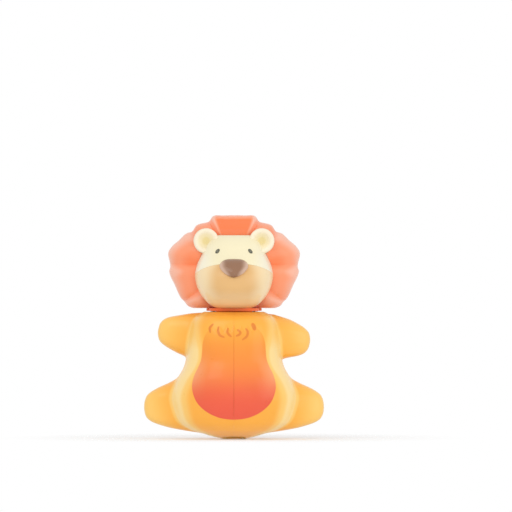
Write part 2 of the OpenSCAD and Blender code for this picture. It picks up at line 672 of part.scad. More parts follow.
// The frame behind the halves: the neck's deck, the back plate with its tab, and the foot that holds the pins
module chassis() color("orangered") figure() {
    difference() {
        union() {
            translate([-spine_w / 2, plate_y, lug_z]) cube([spine_w, plate_t, deck_z + deck_t - lug_z]);
            translate([-rib_t / 2, plate_y - rib_d, lug_z]) cube([rib_t, rib_d + 0.5, gear_z - 1 - lug_z]);
            translate([-spine_w / 2, plate_y - tab_t, deck_z]) cube([spine_w, tab_t, tab_top - deck_z]);
            translate([0, 0, lug_z]) linear_extrude(lug_t) lug_plan();
            translate([0, 0, deck_z]) linear_extrude(deck_t) deck_plan();
        }
        for (side = [-1, 1])
            translate([side * pivot_x, pivot_y, lug_z + lug_floor]) cylinder(h = body_h, r = pin_r);
        for (at = TAB_SCREWS) forward(at[0], 0, head_z + at[1]) cylinder(h = over, r = screw_r);
    }
}
module lug_plan() {
    for (side = [-1, 1]) translate([side * pivot_x, pivot_y]) circle(lug_r);
    translate([-spine_w / 2, pivot_y - 2]) square([spine_w, back_y - pivot_y + 2]);
}
module deck_plan() {
    for (side = [-1, 1]) translate([side * pivot_x, pivot_y]) circle(neck_pin_r);
    translate([0, neck_front + neck_w / 2]) circle(d = neck_w, $fn = 96);
    translate([-neck_w / 2, neck_front + neck_w / 2]) square([neck_w, pivot_y - neck_front - neck_w / 2]);
    translate([-spine_w / 2, pivot_y - 1]) square([spine_w, back_y - pivot_y + 1]);
}
module pin() {
    foot = lug_z + lug_floor;
    length = deck_z + deck_t - slip - foot;
    translate([pivot_x, pivot_y, foot]) rotate_extrude()
        polygon([[0, 0], [pin_r - pin_edge, 0], [pin_r, pin_edge], [pin_r, length - pin_edge],
            [pin_r - pin_edge, length], [0, length]]);
}
module pin_left() color("silver") figure() mirror([1, 0, 0]) pin();
module pin_right() color("silver") figure() pin();

module shell_left() color("orange") figure() mirror([1, 0, 0]) shell(-1);
module shell_right() color("orange") figure() shell(1);
module belly_left() color("tomato") figure() mirror([1, 0, 0]) belly_pad();
module belly_right() color("tomato") figure() belly_pad();
module liner_left() color("papayawhip") figure() mirror([1, 0, 0]) liner(0.5);
module liner_right() color("papayawhip") figure() liner(0);
module liner_screws_left() color("silver") figure() mirror([1, 0, 0]) liner_screws();
module liner_screws_right() color("silver") figure() liner_screws();

suction_cup();
head_back();
mane();
face();
muzzle();
nose();
eye_left();
eye_right();
head_screws();
tab_screws();
chassis();
pin_left();
pin_right();
shell_left();
shell_right();
belly_left();
belly_right();
liner_left();
liner_right();
liner_screws_left();
liner_screws_right();
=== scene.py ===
import bmesh
import bpy
import numpy as np
from mathutils import Matrix, Vector


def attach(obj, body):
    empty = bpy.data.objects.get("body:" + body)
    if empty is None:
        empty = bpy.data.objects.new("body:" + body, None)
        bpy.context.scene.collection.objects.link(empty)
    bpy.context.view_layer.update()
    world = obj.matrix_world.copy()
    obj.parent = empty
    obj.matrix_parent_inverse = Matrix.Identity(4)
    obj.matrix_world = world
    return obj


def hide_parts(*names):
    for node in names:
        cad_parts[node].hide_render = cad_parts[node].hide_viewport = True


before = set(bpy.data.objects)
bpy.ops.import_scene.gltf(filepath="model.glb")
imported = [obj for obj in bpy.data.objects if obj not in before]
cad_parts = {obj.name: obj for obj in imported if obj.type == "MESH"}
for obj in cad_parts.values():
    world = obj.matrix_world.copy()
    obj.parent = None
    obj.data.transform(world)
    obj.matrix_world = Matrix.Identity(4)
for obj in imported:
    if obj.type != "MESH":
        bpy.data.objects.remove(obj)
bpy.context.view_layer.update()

# Frame behind the halves.
# One moulding in deep orange: the deck that shows as the neck, the back plate
# with its tab into the head, and the foot that the two hinge pins stand in.


def paint(red, green, blue):
    """The shader's colour for a paint that is seen as these shares of 255."""
    seen = np.array([red, green, blue]) / 255
    return (*np.where(seen <= 0.04045, seen / 12.92, ((seen + 0.055) / 1.055) ** 2.4), 1.0)


def effect(name, inputs, outputs):
    """An empty shader group with named sockets, and its input and output nodes."""
    group = bpy.data.node_groups.new(name, "ShaderNodeTree")
    for way, sockets in (("INPUT", inputs), ("OUTPUT", outputs)):
        for label, kind in sockets:
            group.interface.new_socket(label, in_out=way, socket_type=f"NodeSocket{kind}")
    return group, group.nodes.new("NodeGroupInput"), group.nodes.new("NodeGroupOutput")


def noise(tree, scale, detail=2.0):
    """A cloudy pattern that has this many waves to a metre, broken up by finer ones."""
    pattern = tree.nodes.new("ShaderNodeTexNoise")
    pattern.inputs["Scale"].default_value = scale
    pattern.inputs["Detail"].default_value = detail
    return pattern


def reckon(tree, operation, *numbers):
    """A Math node with these numbers in its sockets, and None where a link comes in."""
    node = tree.nodes.new("ShaderNodeMath")
    node.operation = operation
    for socket, number in zip(node.inputs, numbers):
        if number is not None:
            socket.default_value = number
    return node


# The drift's waves to a metre, and how far they carry the gloss
CLOUD_SCALE, CLOUD_DETAIL, GLOSS_SWING = 95, 3, 0.16
# The orange peel's waves to a metre, and their height in metres
PEEL_SCALE, PEEL_HEIGHT = 1500, 0.00002


def moulded_skin():
    """What a polished steel mould leaves on plastic: a cloudy drift in the colour, the fine
    unevenness of the surface called orange peel, and a gloss that wanders with both."""
    group, given, made = effect(
        "moulded_skin",
        (("Colour", "Color"), ("Drift", "Float"), ("Gloss", "Float"), ("Peel", "Float")),
        (("Colour", "Color"), ("Roughness", "Float"), ("Normal", "Vector")),
    )
    link = group.links.new
    where = group.nodes.new("ShaderNodeTexCoord")
    cloud = noise(group, CLOUD_SCALE, CLOUD_DETAIL)
    peel = noise(group, PEEL_SCALE)
    for pattern in (cloud, peel):
        link(where.outputs["Object"], pattern.inputs["Vector"])

    # The colour's value is 1 + drift * (cloud - 0.5)
    swing = reckon(group, "SUBTRACT", None, 0.5)
    value = reckon(group, "MULTIPLY_ADD", None, None, 1)
    tone = group.nodes.new("ShaderNodeHueSaturation")
    link(cloud.outputs["Fac"], swing.inputs[0])
    link(swing.outputs[0], value.inputs[0])
    link(given.outputs["Drift"], value.inputs[1])
    link(value.outputs[0], tone.inputs["Value"])
    link(given.outputs["Colour"], tone.inputs["Color"])
    link(tone.outputs["Color"], made.inputs["Colour"])

    # The roughness is gloss + GLOSS_SWING * (cloud - 0.5)
    rough = reckon(group, "MULTIPLY_ADD", None, GLOSS_SWING)
    link(swing.outputs[0], rough.inputs[0])
    link(given.outputs["Gloss"], rough.inputs[2])
    link(rough.outputs[0], made.inputs["Roughness"])

    bump = group.nodes.new("ShaderNodeBump")
    bump.inputs["Distance"].default_value = PEEL_HEIGHT
    link(peel.outputs["Fac"], bump.inputs["Height"])
    link(given.outputs["Peel"], bump.inputs["Strength"])
    link(bump.outputs["Normal"], made.inputs["Normal"])
    return group


SKIN = moulded_skin()
PLASTIC_IOR, SHEEN, COAT_ROUGHNESS = 1.5, 0.35, 0.12


def bare_material(name):
    """A new material, its node tree and its shader."""
    material = bpy.data.materials.new(name)
    material.use_nodes = True
    return material, material.node_tree, material.node_tree.nodes["Principled BSDF"]


def plastic(name, gloss, drift=0.08, peel=0.35, coat=0.0):
    """A moulded plastic: its material, and the socket that its colour goes into."""
    material, tree, shader = bare_material(name)
    shader.inputs["IOR"].default_value = PLASTIC_IOR
    shader.inputs["Specular IOR Level"].default_value = SHEEN
    shader.inputs["Coat Weight"].default_value = coat
    shader.inputs["Coat Roughness"].default_value = COAT_ROUGHNESS
    skin = tree.nodes.new("ShaderNodeGroup")
    skin.node_tree = SKIN
    skin.inputs["Drift"].default_value = drift
    skin.inputs["Gloss"].default_value = gloss
    skin.inputs["Peel"].default_value = peel
    tree.links.new(skin.outputs["Colour"], shader.inputs["Base Color"])
    tree.links.new(skin.outputs["Roughness"], shader.inputs["Roughness"])
    tree.links.new(skin.outputs["Normal"], shader.inputs["Normal"])
    return material, skin.inputs["Colour"]


def dress(node, material):
    """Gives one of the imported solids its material."""
    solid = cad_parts[node]
    solid.data.materials.clear()
    solid.data.materials.append(material)


def fit_out(piece, material, body, node):
    """Gives a finished piece its material, and puts it on its body in its solid's stead."""
    piece.data.materials.clear()
    piece.data.materials.append(material)
    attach(piece, body)
    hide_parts(node)


FRAME_RED, frame_colour = plastic("frame_red", gloss=0.4)
frame_colour.default_value = paint(255, 126, 60)
dress("chassis", FRAME_RED)

# Hinge pins and screws.
# Turned stainless steel: the pins are pressed into the frame's foot and deck,
# and the cross-headed screws hold the liners, the head's cover and its tab.


def uneven(tree, shader, pattern, roughness, strength, height):
    """Lets a pattern carry the roughness between two values and raise the skin by a height in
    metres."""
    rough = tree.nodes.new("ShaderNodeMapRange")
    rough.inputs["To Min"].default_value, rough.inputs["To Max"].default_value = roughness
    bump = tree.nodes.new("ShaderNodeBump")
    bump.inputs["Strength"].default_value = strength
    bump.inputs["Distance"].default_value = height
    tree.links.new(pattern.outputs["Fac"], rough.inputs["Value"])
    tree.links.new(rough.outputs["Result"], shader.inputs["Roughness"])
    tree.links.new(pattern.outputs["Fac"], bump.inputs["Height"])
    tree.links.new(bump.outputs["Normal"], shader.inputs["Normal"])


# The lathe's rings: their waves to a metre, and how many times closer they lie along the upright
RING_SCALE, RING_DETAIL, RING_SQUEEZE = 700, 4, 14


def turned_steel():
    """Steel whose gloss is broken by the fine rings that a lathe leaves."""
    material, tree, shader = bare_material("turned_steel")
    shader.inputs["Base Color"].default_value = paint(205, 205, 203)
    shader.inputs["Metallic"].default_value = 1
    where = tree.nodes.new("ShaderNodeTexCoord")
    stretch = tree.nodes.new("ShaderNodeMapping")
    stretch.inputs["Scale"].default_value = (1, 1, RING_SQUEEZE)
    rings = noise(tree, RING_SCALE, RING_DETAIL)
    tree.links.new(where.outputs["Object"], stretch.inputs["Vector"])
    tree.links.new(stretch.outputs["Vector"], rings.inputs["Vector"])
    uneven(tree, shader, rings, roughness=(0.2, 0.42), strength=0.3, height=0.00002)
    return material


STEEL = turned_steel()
for pin in ("pin_left", "pin_right"):
    dress(pin, STEEL)
for screws in ("head_screws", "tab_screws", "liner_screws_left", "liner_screws_right"):
    dress(screws, STEEL)

# Liners.
# Cream mouldings that make the room inside, close the seam and carry the hinge
# barrels and gears. They are screwed into the shells from inside.

LINER_CREAM, liner_colour = plastic("liner_cream", gloss=0.5, peel=0.6)
liner_colour.default_value = paint(246, 236, 214)
for side in ("left", "right"):
    dress(f"liner_{side}", LINER_CREAM)

# Body shells.
# The torso, arms and legs are two hollow mouldings in glossy yellow-orange,
# one for each half, that meet at a fine seam and swing out on the pins.

# Sizes are in millimetres. Heights are above the body's foot, and the origin is HEAD_Z above it
HEAD_Z = 62.5
BODY_H = 45.4
TORSO_HALF, BELLY_REACH, BACK_REACH = 22.6, 19.1, 17.2
# Depth of the upright axis that the body's sections lie round
CORE_Y = -27.0
# Half the seam's gap, and the round of its edges
SEAM, SEAM_EDGE = 0.01, 0.04
WALL = 1.8
# The limbs' foot, height, reach from the centre and thickness, and how much higher the left arm is
ARM_FOOT, ARM_H, ARM_REACH, ARM_T, ARM_LIFT = 28.2, 16.4, 27.2, 12.4, 0.5
LEG_FOOT, LEG_H, LEG_REACH, LEG_T = 1.9, 20.4, 32.1, 14.0
# The hinge's pivot, the bay that the liner sits in, the gap beside the round heel under the pivot,
# and the round way out at the foot
PIVOT_X, PIVOT_Y = 7.5, -15.5
BAY_X, BAY_FRONT, BAY_FOOT = 11.8, -19.5, 4.3
HEEL_GAP = 0.3
WAY_Y, WAY_R, WAY_TOP = -29.25, 4.6, 3.9
# Roundness of the sections, where 2 is an ellipse and more is squarer, and of the flow between
# forms, and the least half thickness of a limb's tip
FRONT_POWER, REAR_POWER, LIMB_POWER, BLEND_POWER = 2.4, 3, 2.6, 14
LIMB_LEAST = 0.02
# Rows and columns of the shells' skin and of the hollow
SKIN_ROWS, SKIN_COLUMNS, HOLLOW_ROWS, HOLLOW_COLUMNS = 270, 270, 90, 110
# The angles to each side that the wall is measured at, and the hollow's least distance from the axis
WALL_TURNS = (-6, -3, 0, 3, 6)
HOLLOW_LEAST = 1
# Least step across between neighbouring points at the seam
SEAM_STEP = 0.004
# Place, width and strength of the folds that the rows and the columns crowd to
ROW_FOLDS = [(0, 1.2, 3), (3, 1.6, 3), (20, 3, 1.5), (29, 1.5, 4), (40, 3.5, 4)]
COLUMN_FOLDS = [(-90, 0.8, 9), (-57, 8, 3), (-25, 12, 0.8), (0, 16, 2), (90, 1, 6)]
# How far a cutter reaches past what it cuts, and the little that keeps two faces from being shared
OVER, CLEAR = 1, 0.01
# Steps of the running total that places are crowded by
FINE_STEPS = 6001
# Points closer than this, in metres, are one
SAME_PLACE = 1e-7

# Share of the body's height, then of the torso's half width, belly reach and back reach
TORSO = [
    (0, 0.15, 0.16, 0.24), (0.018, 0.32, 0.33, 0.45), (0.042, 0.48, 0.5, 0.64),
    (0.075, 0.69, 0.68, 0.8), (0.132, 0.87, 0.84, 0.94), (0.234, 0.965, 0.96, 1), (0.342, 1, 1, 1),
    (0.464, 0.91, 0.975, 1), (0.55, 0.81, 0.93, 1), (0.62, 0.765, 0.885, 1), (0.77, 0.745, 0.84, 1),
    (0.905, 0.69, 0.79, 1), (0.965, 0.61, 0.7, 0.95), (1, 0.48, 0.53, 0.82),
]
# Share of a limb's own height, then of its reach from the centre
ARM = [
    (0, 0.5), (0.035, 0.65), (0.1, 0.86), (0.2, 0.955), (0.33, 0.99), (0.46, 1), (0.6, 0.98),
    (0.7, 0.925), (0.8, 0.83), (0.9, 0.705), (1, 0.5),
]
LEG = [
    (0, 0.28), (0.047, 0.51), (0.1, 0.7), (0.152, 0.822), (0.205, 0.91), (0.27, 0.965),
    (0.36, 0.992), (0.47, 1), (0.6, 0.988), (0.7, 0.95), (0.8, 0.85), (0.88, 0.73), (0.94, 0.63),
    (1, 0.5),
]


def through(table, column, place):
    """A smooth curve through a column of a table against its first column: a cubic between
    each two rows, whose slope at a row is that of the line between its neighbours."""
    rows = np.array(table, float)
    x, y = rows[:, 0], rows[:, column]
    last = len(x) - 1
    before, after = np.maximum(np.arange(last + 1) - 1, 0), np.minimum(np.arange(last + 1) + 1, last)
    slope = (y[after] - y[before]) / (x[after] - x[before])
    place = np.clip(place, x[0], x[-1])
    i = np.clip(np.searchsorted(x, place) - 1, 0, last - 1)
    h = x[i + 1] - x[i]
    t = (place - x[i]) / h
    return (
        (2 * t**3 - 3 * t**2 + 1) * y[i]
        + (t**3 - 2 * t**2 + t) * h * slope[i]
        + (3 * t**2 - 2 * t**3) * y[i + 1]
        + (t**3 - t**2) * h * slope[i + 1]
    )


def along(points, count):
    """A smooth curve through a few points, evenly stepped along the straight line between them."""
    points = np.array(points, float)
    run = np.concatenate([[0], np.cumsum(np.hypot(*np.diff(points, axis=0).T))])
    place = np.linspace(0, run[-1], count)
    table = np.column_stack([run, points])
    return np.stack([through(table, 1, place), through(table, 2, place)], -1)


def hump(value, centre, width):
    """1 where the value is at the centre, falling away on both sides as a bell does."""
    return np.exp(-(((value - centre) / width) ** 2))


def rise(value, low, run):
    """0 up to low, then rising evenly to 1 over the run."""
    return np.clip((value - low) / run, 0, 1)


def fall(value, high, run):
    """0 from high on, and below it rising evenly to 1 over the run."""
    return np.clip((high - value) / run, 0, 1)


def crowd(low, high, count, peaks=()):
    """A count of places from low to high, closer together near each peak of place, width and
    strength: evenly spaced along the running total of 1 plus the peaks' humps."""
    fine = np.linspace(low, high, FINE_STEPS)
    weight = np.ones_like(fine)
    for place, width, strength in peaks:
        weight += strength * hump(fine, place, width)
    total = np.cumsum(weight)
    return np.interp(np.linspace(total[0], total[-1], count), total, fine)


def oval(a, b, q, power):
    """Distance to the edge of a rounded box of half sizes a and b, in the direction of angle q."""
    q = np.radians(q)
    return ((np.abs(np.cos(q)) / a) ** power + (np.abs(np.sin(q)) / b) ** power) ** (-1 / power)


def dome(s, power):
    """1 in the middle of s = 0 to 1 and 0 at its ends, as a rounded box's half thickness goes."""
    return np.maximum(1 - np.abs(2 * s - 1) ** power, 0) ** (1 / power)


def limb_radius(table, z, q, foot, height, reach, thick, turned):
    """A limb's section at height z is a rounded box: its half width is the table's share of the
    reach, and its half thickness swells and shrinks as a dome over the limb's height."""
    s = (z - foot) / height
    inside = (s > 0) & (s < 1)
    half = reach * through(table, 1, 1 - s if turned else s)
    deep = np.maximum(thick / 2 * dome(np.clip(s, 0, 1), LIMB_POWER), LIMB_LEAST)
    return np.where(inside, oval(half, deep, q, LIMB_POWER), 0)


def torso_radius(z, q):
    """The torso's section is a rounded box, rounder in front than behind."""
    s = z / BODY_H
    half = TORSO_HALF * through(TORSO, 1, s)
    front = oval(half, BELLY_REACH * through(TORSO, 2, s), q, FRONT_POWER)
    back = oval(half, BACK_REACH * through(TORSO, 3, s), q, REAR_POWER)
    return np.where(q < 0, front, back)


def body_radius(z, q, side):
    """Distance from the body's upright axis to its skin: torso, arm and leg flow together, as a
    high root of the sum of their own distances to that power. The left arm sits a little higher
    and is the right one's shape upside down."""
    arm_foot = ARM_FOOT + (ARM_LIFT if side < 0 else 0)
    arm = limb_radius(ARM, z, q, arm_foot, ARM_H, ARM_REACH, ARM_T, side < 0)
    leg = limb_radius(LEG, z, q, LEG_FOOT, LEG_H, LEG_REACH, LEG_T, False)
    torso = torso_radius(z, q)
    return (torso**BLEND_POWER + arm**BLEND_POWER + leg**BLEND_POWER) ** (1 / BLEND_POWER)


def hollow_radius(z, q, side):
    """The same distance for the hollow inside: the least of the skin's own distances within a
    wall's thickness above, below and to the sides, less the wall."""
    near = [body_radius(z + up, q + turn, side) for up in (-WALL, 0, WALL) for turn in WALL_TURNS]
    return np.maximum(np.minimum.reduce(near) - WALL, HOLLOW_LEAST)


def quads(rows, columns, first=0, closed=True):
    """The four-sided faces between a grid's neighbouring rows, each joined to itself if it is closed."""
    i = np.arange(rows - 1)[:, None]
    j = np.arange(columns if closed else columns - 1)[None, :]
    k = (j + 1) % columns
    a, b = i * columns + j, i * columns + k
    return first + np.stack([a, b, b + columns, a + columns], -1).reshape(-1, 4)


def new_piece(name, points, faces):
    """An object at the origin, with a mesh of these points, in metres, and faces."""
    mesh = bpy.data.meshes.new(name)
    mesh.from_pydata(points, [], faces)
    mesh.update()
    piece = bpy.data.objects.new(name, mesh)
    bpy.context.scene.collection.objects.link(piece)
    return piece


def solid_mesh(name, rings, mirrored=False, folded=False):
    """A closed solid from a stack of closed rings of points, in millimetres above the foot, which
    run anticlockwise seen from the last ring's side. Its two ends are flat, or else each is a strip
    between the two halves of its ring, folded together."""
    rings = np.asarray(rings, float)
    rows, columns = rings.shape[:2]
    points = rings.reshape(-1, 3) * ((-1, 1, 1) if mirrored else (1, 1, 1))
    points = (points - (0, 0, HEAD_Z)) / 1000
    last = (rows - 1) * columns
    if folded:
        i = np.arange(columns // 2 - 1)
        strip = np.stack([i, i + 1, columns - 2 - i, columns - 1 - i], -1)
        ends = np.concatenate([strip[:, ::-1], strip + last]).tolist()
    else:
        ends = [list(range(columns))[::-1], list(range(last, last + columns))]
    faces = quads(rows, columns).tolist() + ends
    if mirrored:
        faces = [face[::-1] for face in faces]
    return new_piece(name, points, faces)


def block(name, low, high):
    """A plain box between two corners, to cut with."""
    (x0, y0, z0), (x1, y1, z1) = low, high
    return solid_mesh(name, [[(x0, y0, z), (x1, y0, z), (x1, y1, z), (x0, y1, z)] for z in (z0, z1)])


def rod(name, x, y, z0, z1, radius, steps=96):
    """A plain upright cylinder, to cut with."""
    q = np.linspace(0, 2 * np.pi, steps, endpoint=False)
    ring = np.stack([x + radius * np.cos(q), y + radius * np.sin(q), np.zeros(steps)], -1)
    return solid_mesh(name, [ring + (0, 0, z) for z in (z0, z1)])


def carve(piece, *cutters, keep="DIFFERENCE"):
    """Cuts the cutters out of a piece, or keeps only what lies in them, and leaves no loose flakes,
    which are pairs of faces on the same corners."""
    for cutter in cutters:
        cut = piece.modifiers.new("cut", "BOOLEAN")
        cut.object = cutter
        cut.operation = keep
        cut.solver = "MANIFOLD"
    graph = bpy.context.evaluated_depsgraph_get()
    made = bpy.data.meshes.new_from_object(piece.evaluated_get(graph))
    piece.modifiers.clear()
    form = bmesh.new()
    form.from_mesh(made)
    bmesh.ops.remove_doubles(form, verts=form.verts, dist=SAME_PLACE)
    bmesh.ops.triangulate(form, faces=[face for face in form.faces if len(face.verts) > 4])
    on_corners = {}
    for face in form.faces:
        on_corners.setdefault(frozenset(face.verts), []).append(face)
    flakes = [face for faces in on_corners.values() if len(faces) > 1 for face in faces]
    bmesh.ops.delete(form, geom=flakes, context="FACES")
    form.to_mesh(made)
    form.free()
    piece.data = made
    made.name = piece.name
    for cutter in cutters:
        bpy.data.objects.remove(cutter)
    return piece


def smooth(piece, angle=32):
    """Smooth shading that stops at edges sharper than the angle."""
    piece.data.shade_smooth()
    piece.data.set_sharp_from_angle(angle=np.radians(angle))
    return piece


def tint(piece, name, rule):
    """Keeps a value for each point, which a rule gives from its place in millimetres above the
    foot and from the skin's outward direction, as an attribute that a material reads."""
    mesh = piece.data
    count = len(mesh.vertices)
    place = np.empty(count * 3)
    mesh.vertices.foreach_get("co", place)
    way = np.empty(count * 3)
    mesh.vertex_normals.foreach_get("vector", way)
    place, way = place.reshape(-1, 3) * 1000 + (0, 0, HEAD_Z), way.reshape(-1, 3)
    values = np.clip(rule(*place.T, *way.T), 0, 1).astype(np.float32)
    mesh.attributes.new(name, "FLOAT", "POINT").data.foreach_set("value", values)


def turned_in(distance, edge):
    """How far a skin turns in at a distance from its edge: a quarter round whose radius is edge."""
    near = np.maximum(edge - distance, 0)
    return edge - np.sqrt(np.maximum(edge**2 - near**2, 0))


def half_rings(radius, side, levels, columns, edge):
    """Rings round one half of the body, from the seam in front by the side to the seam behind,
    with the skin turned in by a rounded edge along the seam."""
    z, q = np.meshgrid(levels, columns, indexing="ij")
    r = radius(z, q, side)
    x, y = r * np.cos(np.radians(q)), r * np.sin(np.radians(q))
    x = np.maximum(x, SEAM + SEAM_STEP * np.arange(len(columns)))
    x[:, 0] = x[:, -1] = SEAM
    y = y - np.sign(y) * np.minimum(turned_in(x - SEAM, edge), np.abs(y))
    return np.stack([x, CORE_Y + y, z], -1)


def body_shell(side):
    """One half of the body: its skin's rings, less the hollow, which stops at the bay's wall, what
    lies beside the round heel, the bay itself and the way out at the foot. The left half is made on
    the right and mirrored."""
    name = "body_shell_left" if side < 0 else "body_shell_right"
    levels = crowd(0, BODY_H, SKIN_ROWS, ROW_FOLDS)
    columns = crowd(-90, 90, SKIN_COLUMNS, COLUMN_FOLDS)
    shell = solid_mesh(name, half_rings(body_radius, side, levels, columns, SEAM_EDGE))
    levels = crowd(WALL, BODY_H - WALL, HOLLOW_ROWS)
    columns = crowd(-90, 90, HOLLOW_COLUMNS, [(0, 20, 1)])
    inner = half_rings(hollow_radius, side, levels, columns, 0.0)
    inner[:, [0, -1], 0] = -OVER
    hollow = carve(
        solid_mesh("hollow", inner),
        block("behind_the_bay", (-2 * OVER, BAY_FRONT, -OVER), (BAY_X + WALL, OVER, BODY_H + OVER)),
    )
    heel = carve(
        block("beside_the_heel", (-OVER, BAY_FRONT, -OVER), (BAY_X, OVER, BAY_FOOT + CLEAR)),
        rod("heel", PIVOT_X, PIVOT_Y, -2 * OVER, BAY_FOOT + OVER, PIVOT_X - HEEL_GAP),
    )
    bay = block("bay", (-OVER, BAY_FRONT, BAY_FOOT), (BAY_X, OVER, BODY_H + OVER))
    way_out = rod("way_out", 0, WAY_Y, -OVER, WAY_TOP, WAY_R)
    carve(shell, hollow, heel, bay, way_out)
    if side < 0:
        shell.data.transform(Matrix.Scale(-1, 4, (1, 0, 0)))
        shell.data.flip_normals()
    return smooth(shell)


def painted_body_highlight(x, y, z, *way):
    """The yellow is painted paler, as a painted highlight, in a soft band down each side of the torso,
    broader at the waist and weaker above it, and over the limbs' ends; under the belly it is painted
    paler as painted light against the shade there."""
    half = TORSO_HALF * through(TORSO, 1, z / BODY_H)
    across = np.abs(x) / half
    band = rise(across, 0.64 - 0.1 * hump(z, 30, 7), 0.22) ** 1.4 * fall(across, 1.05, 0.09)
    band = band * (1 - 0.5 * rise(z, 32, 8))
    ends = rise(np.abs(x), half, 10) ** 1.3 * (1 - 0.3 * rise(z, 25, 3))
    under = 0.15 * fall(z, 8, 5)
    return np.maximum(np.maximum(0.85 * band, under), (0.1 + 0.42 * ends) * (across > 1))


def banded(name, gloss, attribute, stops, **more):
    """A moulded plastic whose paint runs through the colours of stops along an attribute."""
    material, colour = plastic(name, gloss, **more)
    tree = material.node_tree
    reader = tree.nodes.new("ShaderNodeAttribute")
    reader.attribute_name = attribute
    ramp = tree.nodes.new("ShaderNodeValToRGB")
    ramp.color_ramp.interpolation = "B_SPLINE" if len(stops) > 3 else "EASE"
    elements = ramp.color_ramp.elements
    while len(elements) < len(stops):
        elements.new(0.5)
    for element, (place, shade) in zip(elements, stops):
        element.position = place
        element.color = paint(*shade)
    tree.links.new(reader.outputs["Fac"], ramp.inputs["Fac"])
    tree.links.new(ramp.outputs["Color"], colour)
    return material


# The fur marks painted on the chest: half the thickness of each, and the places across and above
# the foot that its line runs through
STROKES = [
    (0.3, [(-7.4, 41.1), (-8.1, 40.4), (-8.6, 39.7), (-8.4, 38.2)]),
    (0.33, [(-5.5, 40.1), (-5.6, 38.7), (-5.0, 37.2), (-3.5, 36.5)]),
    (0.32, [(-2.1, 39.6), (-2.3, 38.3), (-1.75, 37.4), (-0.95, 36.7)]),
    (0.32, [(1.3, 39.1), (2.3, 38.2), (2.0, 37.5), (0.85, 36.9)]),
    (0.33, [(4.25, 39.5), (4.9, 38.5), (4.65, 36.9), (3.1, 35.6)]),
    (0.62, [(6.6, 41.2), (7.1, 40.2), (7.4, 39.2)]),
]


# The marks' paint and how thickly it covers, the dots that make a line, how much of its thickness
# a line loses towards its ends, and how soft its edge is
MARK, MARK_SHARE = (226, 128, 44), 0.9
DOTS, TAPER, SOFT_EDGE = 30, 0.6, 0.2


def in_a_stroke(x, y, z, *way):
    """1 on the fur marks and 0 off them, with soft edges: the most that any dot of a line gives."""
    mark = np.zeros_like(x)
    for thick, points in STROKES:
        for t, (cx, cz) in zip(np.linspace(0, 1, DOTS), along(points, DOTS)):
            reach = thick * (1 - TAPER * abs(2 * t - 1) ** 3)
            distance = np.hypot(x - cx, z - cz)
            mark = np.maximum(mark, fall(distance, reach + 1.1 * SOFT_EDGE, SOFT_EDGE))
    return mark * (y < CORE_Y)


def layer(material, attribute, shade, share):
    """Lays a second paint over a material's own, as thick as an attribute says, up to a share: a print
    of marks, or a painted highlight.
    """
    tree = material.node_tree
    below = next(n for n in tree.nodes if n.bl_idname == "ShaderNodeGroup").inputs["Colour"]
    reader = tree.nodes.new("ShaderNodeAttribute")
    reader.attribute_name = attribute
    much = reckon(tree, "MULTIPLY", None, share)
    over = tree.nodes.new("ShaderNodeMix")
    over.data_type = "RGBA"
    over.inputs["B"].default_value = paint(*shade)
    tree.links.new(reader.outputs["Fac"], much.inputs[0])
    tree.links.new(much.outputs[0], over.inputs["Factor"])
    tree.links.new(below.links[0].from_socket, over.inputs["A"])
    tree.links.new(over.outputs["Result"], below)


# The body's yellow, running to the paler yellow of the painted highlight and the painted light near the
# foot
YELLOWS = [(0, (253, 178, 66)), (0.5, (254, 203, 108)), (1, (254, 226, 158))]
BODY_ORANGE = banded("body_orange", 0.3, "paler", YELLOWS, coat=0.15)
layer(BODY_ORANGE, "mark", MARK, MARK_SHARE)
for name, side in (("left", -1), ("right", 1)):
    shell = body_shell(side)
    tint(shell, "paler", painted_body_highlight)
    tint(shell, "mark", in_a_stroke)
    fit_out(shell, BODY_ORANGE, f"{name}_half", f"shell_{name}")

# Belly.
# An inlay of little thickness on each half, all but flush at its edge and crowned between, in a
# paint that runs from orange at the chest to coral red, with tufts at its top and a painted highlight
# along its widest sides.

PAD_FOOT, PAD_H, PAD_HALF = 7.2, 33.6, 14.9
# How proud of the skin it is in the middle and at its edge, how deep it goes, and its step back
# from the seam
PAD_RISE, PAD_PROUD, PAD_SINK, PAD_IN = 0.4, 0.04, 0.9, 0.02
# How flat the crown is across and upwards
CROWN_ACROSS, CROWN_UP = 6, 8
PAD_ROWS, PAD_COLUMNS = 260, 140
# The tufts on each side, their width and height, and how soon they fade below the top
TUFTS, TUFT_W, TUFT_DROP, TUFT_FADE = 3, 2.5, 2.2, 10
# Share of the pad's height, then of its half width
PAD = [
    (0, 0.02), (0.0024, 0.125), (0.0095, 0.245), (0.024, 0.38), (0.068, 0.6), (0.142, 0.81),
    (0.23, 0.94), (0.35, 1), (0.467, 0.945), (0.556, 0.85), (0.63, 0.785), (0.72, 0.76),
    (0.82, 0.74), (0.91, 0.665), (1, 0.49),
]


def skin_depth(x, z):
    """Depth of the torso's front skin at a place across and above the foot."""
    s = z / BODY_H
    share = np.minimum(np.abs(x) / (TORSO_HALF * through(TORSO, 1, s)), 1)
    reach = BELLY_REACH * through(TORSO, 2, s)
    return CORE_Y - reach * (1 - share**FRONT_POWER) ** (1 / FRONT_POWER)


